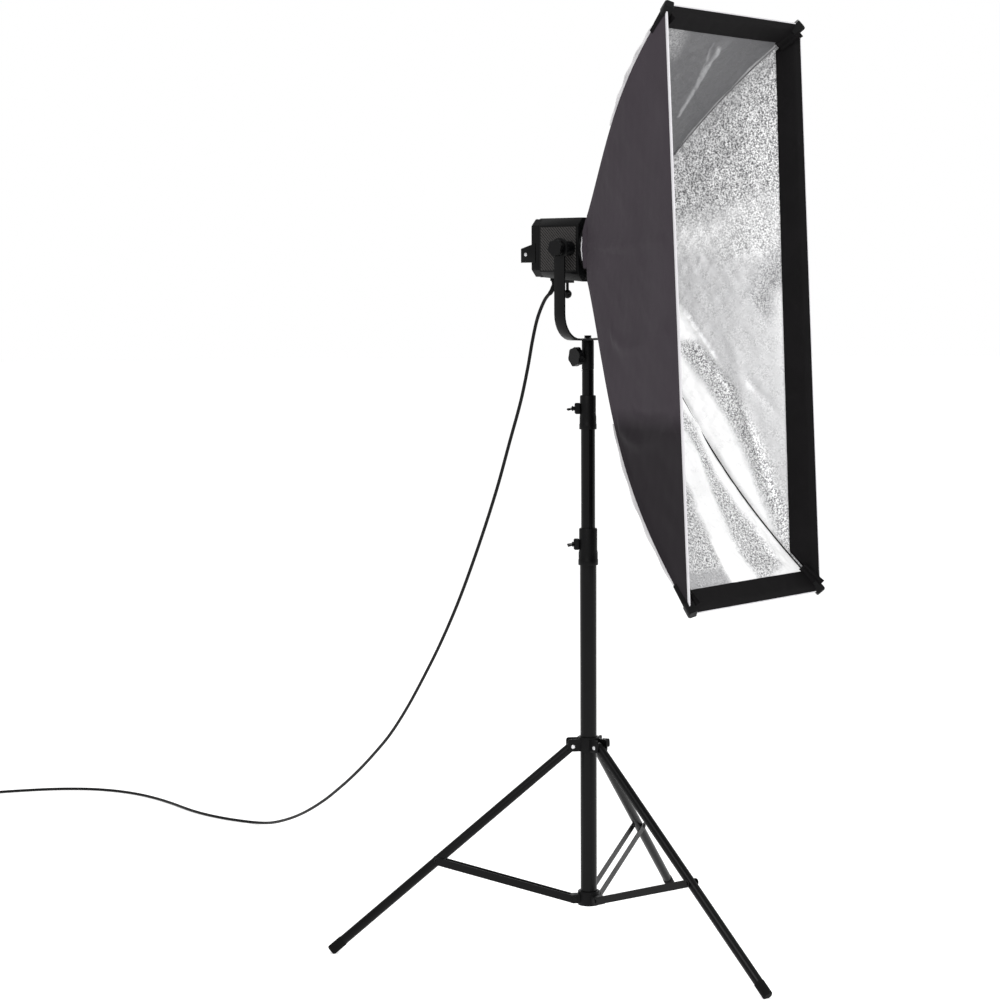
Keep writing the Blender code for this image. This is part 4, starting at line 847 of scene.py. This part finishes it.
def roundedLoop(corners, radius, spacing):
    # straight sides with the corners cut to arcs, as evenly spaced points
    pieces = []
    for k in range(len(corners)):
        here, before, after = corners[k], corners[k - 1], corners[(k + 1) % len(corners)]
        towards = (before - here) / np.linalg.norm(before - here)
        onwards = (after - here) / np.linalg.norm(after - here)
        t = np.linspace(0, 1, 7)[:, None]
        start, end = here + towards * radius, here + onwards * radius
        pieces.append((1 - t) ** 2 * start + 2 * t * (1 - t) * here + t**2 * end)
        count = int(np.linalg.norm(after - here) / spacing)
        steps = np.linspace(0, 1, count)[1:-1, None]
        last = after - onwards * radius
        pieces.append(end + (last - end) * steps)
    return np.vstack(pieces)


sewHem(hem)

corner = {
    "reach": 0.066,  # back along the seam
    "past": 0.0040,
    "strip": (0.0095, 0.0030),  # half width, thickness
    "tip": (0.0100, 0.0062),
    "strap": 0.017,
}


def cornerPockets(settings):
    # a folded strip over each rod end, ending in a stiff boxy tip past the corner
    for number, (side, top) in enumerate(cornerSides, 1):
        shares = np.linspace(0.80, 1.0, 60)
        line = seam(side, top, shares)
        left = np.concatenate([np.cumsum(np.linalg.norm(np.diff(line, axis=0), axis=1)[::-1])[::-1], [0]])
        line = line[left <= settings["reach"]]
        ahead = line[-1] - line[-2]
        ahead /= np.linalg.norm(ahead)
        out = np.array([side * 0.75, 0, 0.66 if top else -0.66])
        out -= ahead * (out @ ahead)
        out /= np.linalg.norm(out)
        line = line + out * 0.0010
        wide, thick = settings["strip"]
        outline = [(-wide, -0.0040), (-wide * 0.55, thick * 0.6), (0, thick), (wide * 0.55, thick * 0.6),
                   (wide, -0.0040), (wide * 0.5, -0.0020), (0, thick - 0.0022), (-wide * 0.5, -0.0020)]
        size = 0.72 + 0.28 * smoothStep(0, 1, np.linspace(0, 1, len(line)))
        strip = gridSurface(f"cornerStrip{number}", carry(line, outline, size, out), "softbox",
                            finishes["band"], closedV=True, caps=True)
        turnSharp(strip, 50)
        wide, thick = settings["tip"]
        stations = np.array([-0.020, -0.019, 0.0, settings["past"] - 0.0012, settings["past"]])
        tip = line[-1] - out * 0.0030 + ahead * stations[:, None]
        outline = [(-wide, -thick * 1.9), (-wide, thick * 0.5), (-wide * 0.6, thick),
                   (wide * 0.6, thick), (wide, thick * 0.5), (wide, -thick * 1.9)]
        block = gridSurface(f"cornerTip{number}", carry(tip, outline, [0.90, 1, 1, 0.96, 0.84], out), "softbox",
                            finishes["fitting"], closedV=True, caps=True)
        turnSharp(block, 40)
        inner = seam(side, top, shares)[(left <= settings["reach"] * 0.9) & (left >= 0.007)] - out * 0.0105
        wide = settings["strap"]
        outline = [(-wide, -0.0110), (-wide * 0.5, -0.0040), (0, 0.0010), (wide * 0.5, -0.0040),
                   (wide, -0.0110), (wide * 0.5, -0.0052), (0, -0.0004), (-wide * 0.5, -0.0052)]
        size = 1 - 0.35 * np.linspace(1, 0, len(inner))
        gridSurface(f"cornerStrap{number}", carry(inner, outline, size, out), "softbox",
                    finishes["band"], closedV=True, caps=True)


cornerPockets(corner)

selvedge = {"from": 0.42, "to": 0.93, "width": 0.0080, "wave": 0.0006, "thickness": 0.0007}


def selvedges(settings):
    # the lining's raw edge, sewn into the near seams and standing out past them
    start, end = settings["from"], settings["to"]
    for name, top in (("Upper", True), ("Lower", False)):
        shares = np.linspace(start, end, 70)
        line = seam(-1, top, shares)
        ahead = np.gradient(line, axis=0)
        out = np.array([-0.75, 0, 0.66 if top else -0.66]) + 0 * ahead
        out -= ahead * ((out * ahead).sum(axis=1) / (ahead * ahead).sum(axis=1))[:, None]
        out /= np.linalg.norm(out, axis=1)[:, None]
        t = (shares - start) / (end - start)
        fray = 0.85 + 0.15 * np.sin(t * 31)
        width = settings["width"] * np.sin(math.pi * (0.06 + 0.88 * t)) ** 0.5 * fray
        steps = np.linspace(-0.12, 1, 6)
        points = line[:, None] + (steps[None] * width[:, None])[..., None] * out[:, None]
        aside = np.cross(out, ahead / np.linalg.norm(ahead, axis=1)[:, None])
        wave = np.sin(t * 26)[:, None] * steps[None] ** 2 * settings["wave"]
        points = points + wave[..., None] * aside[:, None]
        strip = gridSurface(f"selvedge{name}", points, "softbox", finishes["greyTape"])
        thicken(strip, settings["thickness"], 0.0)


selvedges(selvedge)

rods = {"inset": 0.009, "topRadius": 0.0012, "bottomRadius": 0.0014, "start": 0.016}


def layRods(settings):
    # a bent rod inside each seam, in a grey sleeve at the top and bare at the bottom
    for number, (side, top) in enumerate(cornerSides, 1):
        share = np.linspace(0, 1, 80)
        line = seam(side, top, share)
        ahead = np.gradient(line, axis=0)
        ahead /= np.linalg.norm(ahead, axis=1)[:, None]
        slant = np.array([side, 0, 1 if top else -1])
        out = slant - ahead * (ahead @ slant)[:, None]
        out /= np.linalg.norm(out, axis=1)[:, None]
        line = (line - out * settings["inset"])[share > settings["start"]]
        radius = settings["topRadius" if top else "bottomRadius"]
        finish = finishes["rodSleeve" if top else "paintedSteel"]
        rod = tubeAlong(f"springRod{number}", line, radius, "softbox", finish, 12)
        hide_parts(f"rod_{number}")


layRods(rods)

neck = {
    "reach": 0.0110,
    "thickness": 0.0010,
    "arc": (-0.024, 0.022),  # the piping's lowest and highest point from the lamp's axis
}


def sewNeck(settings):
    # the cloth's rear edge, gathered a little way back over the ring on the two sides and the top
    ring = softbox["ringHalf"]
    outline = [(-1, -0.62), (-1, 0.0), (-1, 0.80), (-0.80, 1), (0, 1), (0.80, 1), (1, 0.80), (1, 0.0),
               (1, -0.62)]
    path = smoothPath([(x * ring[0], 0, z * ring[1]) for x, z in outline], 0.003)
    away = path / np.linalg.norm(path, axis=1)[:, None]
    ripple = np.sin(np.arange(len(path)) * 1.7) * 0.0004 + np.sin(np.arange(len(path)) * 0.61) * 0.0005
    rows = []
    height = np.clip(1 - (path[:, 2] / ring[1]) ** 2, 0, 1)
    for share in np.linspace(0, 1, 6):
        row = path + away * (0.0012 + 0.0010 * share + ripple * share)[:, None]
        row[:, 1] = softbox["rearY"] - 0.0015 + (0.0015 + settings["reach"] * height) * share
        rows.append(lampMiddle + row)
    rows = np.array(rows)
    cloth = gridSurface("neckCloth", rows, "softbox", finishes["nylon"])
    thicken(cloth, settings["thickness"], 1.0)
    low, high = settings["arc"]
    edge = rows[-1][(path[:, 0] < 0) & (path[:, 2] > low) & (path[:, 2] < high)] + [-0.0006, 0.0002, 0]
    size = 0.25 + 0.75 * np.sin(np.linspace(0, math.pi, len(edge))) ** 0.6
    points = carry(edge, roundOutline(0.0011, 10), size, (1, 0, 0))
    gridSurface("neckPiping", points, "softbox", finishes["whiteTape"], closedV=True,
                caps=True)


sewNeck(neck)
print("softbox finished")


ribs = {
    "side": 0.0580,
    "y": (-0.0175, 0.0740),
    "z": (-0.045, 0.045),
    "pitch": 0.0044,
    "height": 0.0010,
    "step": 0.00062,
}


def ribFinish():
    # the ribs' crests are painted paler than the grooves, a painted highlight along each crest
    material, tree, shader = newMaterial("ribbedCasingPaintedHighlight", (0.003, 0.003, 0.003), 0.34, 0, 0.12)
    stops = [(0.45, (0.002, 0.002, 0.002)), (0.85, (0.040, 0.037, 0.036))]
    tree.links.new(ramp(tree, attributeOf(tree, "paintedCrestHighlight"), stops), shader.inputs["Base Color"])
    return material


def ribbedSides(settings):
    # ribs at 45 degrees: a raised rounded bar every pitch, inside a plain border
    low, high = settings["y"]
    bottom, top = settings["z"]
    y = np.arange(low, high, settings["step"])
    z = np.arange(bottom, top, settings["step"])
    yy, zz = np.meshgrid(y, z, indexing="ij")
    border = np.minimum.reduce([yy - low, high - yy, zz - bottom, top - zz])
    phase = ((yy - zz) / (settings["pitch"] * math.sqrt(2))) % 1
    # the bar shape also sets the painted highlight on the crests
    bar = np.clip(1.25 * np.sin(math.pi * phase) ** 1.3, 0, 1) * smoothStep(0.0022, 0.0034, border)
    lift = 0.0001 + (0.00035 + settings["height"] * bar) * smoothStep(0, 0.0008, border)
    for name, side in (("Left", -1), ("Right", 1)):
        points = np.stack([side * (settings["side"] + lift), yy, zz], axis=2) + lampMiddle
        if side > 0:
            points = points[::-1]
        gridSurface(f"ribs{name}", points, "lamp", finishes["ribbed"], values={"paintedCrestHighlight": bar})


finishes["ribbed"] = ribFinish()
ribbedSides(ribs)


def revolved(name, profile, place, direction, body, material, sides=28):
    # a closed outline of (radius, height) turned about an axis
    direction = np.array(direction, dtype=float) / np.linalg.norm(direction)
    side = np.cross(direction, [0, 0, 1] if abs(direction[2]) < 0.9 else [1, 0, 0])
    side /= np.linalg.norm(side)
    other = np.cross(direction, side)
    angle = np.linspace(0, 2 * math.pi, sides + 1)[:-1]
    ring = np.cos(angle)[:, None] * side + np.sin(angle)[:, None] * other
    radius, height = (np.array(profile)[:, k] for k in (0, 1))
    points = place + radius[:, None, None] * ring[None] + height[:, None, None] * direction
    obj = gridSurface(name, points, body, material, closedV=True, caps=True)
    return turnSharp(obj, 32)


screws = {
    "ear": {"radius": 0.0038, "height": 0.0016, "place": (0.0588, 0.108, -0.0105)},
    "panel": {"radius": 0.0024, "height": 0.0010, "half": 0.040, "back": 0.0942, "levels": (0.046, -0.041)},
    "stud": {"radius": 0.0020, "height": 0.0012, "place": (-0.0096, 0.0066, 1.1478),
             "out": (-0.835, 0.55, 0)},
}


def screwHead(name, place, direction, settings, body, finish="steel"):
    # a low domed head with a round socket in it
    radius, height = settings["radius"], settings["height"]
    profile = [(radius, -0.0004), (radius, height * 0.55), (radius * 0.93, height * 0.85),
               (radius * 0.80, height), (radius * 0.46, height), (radius * 0.44, height * 0.35),
               (radius * 0.05, height * 0.35)]
    return revolved(name, profile, place, direction, body, finishes[finish])


def addScrews(settings):
    ear, panel, stud = settings["ear"], settings["panel"], settings["stud"]
    for side, x in (("Left", -1), ("Right", 1)):
        place = lampMiddle + np.array(ear["place"]) * [x, 1, 1]
        screwHead(f"earScrew{side}", place, (x, 0, 0), ear, "lamp")
    places = [(x * panel["half"], panel["back"], z) for z in panel["levels"] for x in (-1, 1)]
    for number, place in enumerate(places, 1):
        screwHead(f"panelScrew{number}", lampMiddle + place, (0, 1, 0), panel, "lamp",
                  "paintedSteel")
    screwHead("studSetScrew", mast + stud["place"], stud["out"], stud, "top_section")


addScrews(screws)

wing = {
    "angle": 130.0,
    "hub": (0.0262, 0.0325),  # from the mast's axis
    "hubRadius": 0.0054,
    "thickness": 0.0034,
    "droop": 0.20,
    "outline": [(0.0275, 0.0), (0.0280, 0.0060), (0.0300, 0.0105), (0.0340, 0.0145), (0.0385, 0.0168),
                (0.0412, 0.0160), (0.0410, 0.0130), (0.0378, 0.0090), (0.0350, 0.0050), (0.0335, 0.0)],
}


def wingScrew(settings, name, height, body, node):
    # a round hub with two level wings swept outwards
    angle = math.radians(settings["angle"])
    out = np.array([math.cos(angle), math.sin(angle), 0])
    side = np.array([-math.sin(angle), math.cos(angle), 0])
    place = mast + [0, 0, height]
    low, high = settings["hub"]
    radius = settings["hubRadius"]
    profile = [(0.0010, low), (radius * 0.75, low), (radius * 0.78, low + 0.004), (radius, low + 0.005),
               (radius, high - 0.003), (radius * 0.7, high), (0.0010, high)]
    hub = revolved(f"{name}Hub", profile, place, out, body, finishes["knob"], 20)
    outline = settings["outline"]
    half = settings["thickness"] / 2
    for sign, which in ((-1, "Far"), (1, "Near")):
        flat = np.array([place + out * a + side * sign * b for a, b in outline])
        centre = flat.mean(axis=0)
        droop = np.array([-settings["droop"] * max(a - 0.030, 0) for a, _ in outline])[:, None] * [0, 0, 1]
        rows = [centre + (flat - centre) * grow + droop + [0, 0, z] for grow, z in
                ((0.90, -half), (1.0, -half * 0.5), (1.0, half * 0.5), (0.90, half))]
        rows = np.array(rows)[:: sign]
        gridSurface(f"{name}Wing{which}", rows, body, finishes["knob"], closedV=True, caps=True)
    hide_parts(node)


wingScrew(wing, "lowerWing", 0.8050, "base_lock", "base_clamp_knob")
wingScrew(wing, "upperWing", 1.0740, "mid_lock", "mid_clamp_knob")


def cutBox(settings):
    # an upright box outline with its four corners cut off at 45 degrees
    half, low, high, cut = (settings[k] for k in ("half", "low", "high", "cut"))
    outline = [(-half, low + cut), (-half + cut, low), (half - cut, low), (half, low + cut),
               (half, high - cut), (half - cut, high), (-half + cut, high), (-half, high - cut)]
    return roundedLoop(np.array([(x, 0, z) for x, z in outline]), 0.002, 0.004)


rearRim = {"half": 0.0568, "low": -0.0545, "high": 0.0590, "cut": 0.0135, "wall": 0.0022,
           "y": (0.0826, 0.0962)}


def addRearRim(settings):
    # a rim standing round the tapered back panel
    outer = cutBox(settings)
    centre = outer.mean(axis=0)
    inner = centre + (outer - centre) * (1 - settings["wall"] / settings["half"])
    start, end = settings["y"]
    small = centre + (outer - centre) * 0.985
    rows = [outer + [0, start, 0], outer + [0, end - 0.0012, 0], small + [0, end, 0], inner + [0, end, 0],
            inner + [0, start, 0]]
    rows = (np.array(rows) + lampMiddle)[::-1]
    rim = gridSurface("rearRim", rows, "lamp", finishes["casing"], closedU=True, closedV=True)
    turnSharp(rim)


addRearRim(rearRim)


bezel = {"half": 0.0565, "low": -0.0630, "high": 0.0585, "cut": 0.014, "hole": 0.0445,
         "y": (-0.0182, -0.0168)}


def frontBezel(settings):
    # a plate behind the ring closes the casing's front round the optics
    outer = cutBox(settings)
    angle = np.arctan2(outer[:, 2], outer[:, 0])
    radius = settings["hole"]
    hole = np.stack([np.cos(angle) * radius, 0 * angle, np.sin(angle) * radius], axis=1)
    front, back = settings["y"]
    rows = [outer + [0, back, 0], outer + [0, front, 0], hole + [0, front, 0], hole + [0, back, 0]]
    rows = np.array(rows) + lampMiddle
    turnSharp(gridSurface("frontBezel", rows, "lamp", finishes["casing"], closedU=True,
                          closedV=True))


frontBezel(bezel)

sleeve = {"length": 0.024, "radius": 0.0049, "taper": 0.0008, "rib": 0.0003, "bore": 0.00375}


def strainRelief(settings):
    # a ribbed sleeve that narrows down the cord below the gland
    path = smoothPath(cordRoute[1:6], 0.0012)
    along = np.concatenate([[0], np.cumsum(np.linalg.norm(np.diff(path, axis=0), axis=1))])
    path = path[along <= settings["length"]] + mast
    t = np.linspace(0, 1, len(path))
    ring = np.sin(t * math.pi * 12) > 0
    outer = settings["radius"] - settings["taper"] * t + settings["rib"] * ring
    outer[-1] -= 0.0002
    outline = roundOutline(1.0, 20)
    shell = carry(path, outline, outer, (1, 0, 0))
    bore = carry(path, outline, np.full(len(path), settings["bore"]), (1, 0, 0))
    points = np.vstack([shell, bore[::-1]])
    sleeveSkin = gridSurface("cordSleeve", points, "lamp", finishes["rubber"], closedU=True,
                             closedV=True)
    turnSharp(sleeveSkin, 40)


strainRelief(sleeve)

display = {"x": (-0.040, -0.002), "z": (-0.002, 0.026), "corner": 0.003, "y": (0.0938, 0.0946, 0.0949)}


def displayGlass():
    material, tree, shader = newMaterial("displayGlass", (0.004, 0.005, 0.006), 0.06, 0, 0.6)
    relief(tree, shader, noise(tree, objectPlace(tree), 40.0), 0.00002, 0.2)
    return material


def displayWindow(settings):
    # a thin rounded plate whose front edge steps in a little
    (left, right), (low, high) = settings["x"], settings["z"]
    corners = np.array([(left, 0, low), (right, 0, low), (right, 0, high), (left, 0, high)])
    path = roundedLoop(corners, settings["corner"], 0.004)
    centre = path.mean(axis=0)
    small = centre + (path - centre) * 0.985
    rows = [lampMiddle + line * [1, 0, 1] + [0, y, 0] for line, y in zip((path, path, small), settings["y"])]
    turnSharp(gridSurface("displayWindow", np.array(rows), "lamp", finishes["glass"],
                          closedV=True, caps=True))


finishes["glass"] = displayGlass()
displayWindow(display)


def softenEdges(name, width, angle=32):
    # rounds a frame part's hard edges
    obj = nodes[name]
    weld = obj.modifiers.new("weld", "WELD")
    weld.merge_threshold = 0.00001
    bevel = obj.modifiers.new("softEdge", "BEVEL")
    bevel.width = width
    bevel.segments = 2
    bevel.limit_method = "ANGLE"
    bevel.angle_limit = math.radians(angle)
    bevel.use_clamp_overlap = True
    obj.data.shade_smooth()
    obj.data.set_sharp_from_angle(angle=math.radians(38))


softEdges = {"lamp_casing": 0.0010, "rear_bracket": 0.0005, "yoke_strap": 0.0006, "base_clamp": 0.0006,
             "mid_clamp": 0.0006, "yoke_receiver": 0.0006, "lower_bracket": 0.0006, "leg_collar": 0.0006}
for partName, width in softEdges.items():
    softenEdges(partName, width)
print("lamp and stand finished")
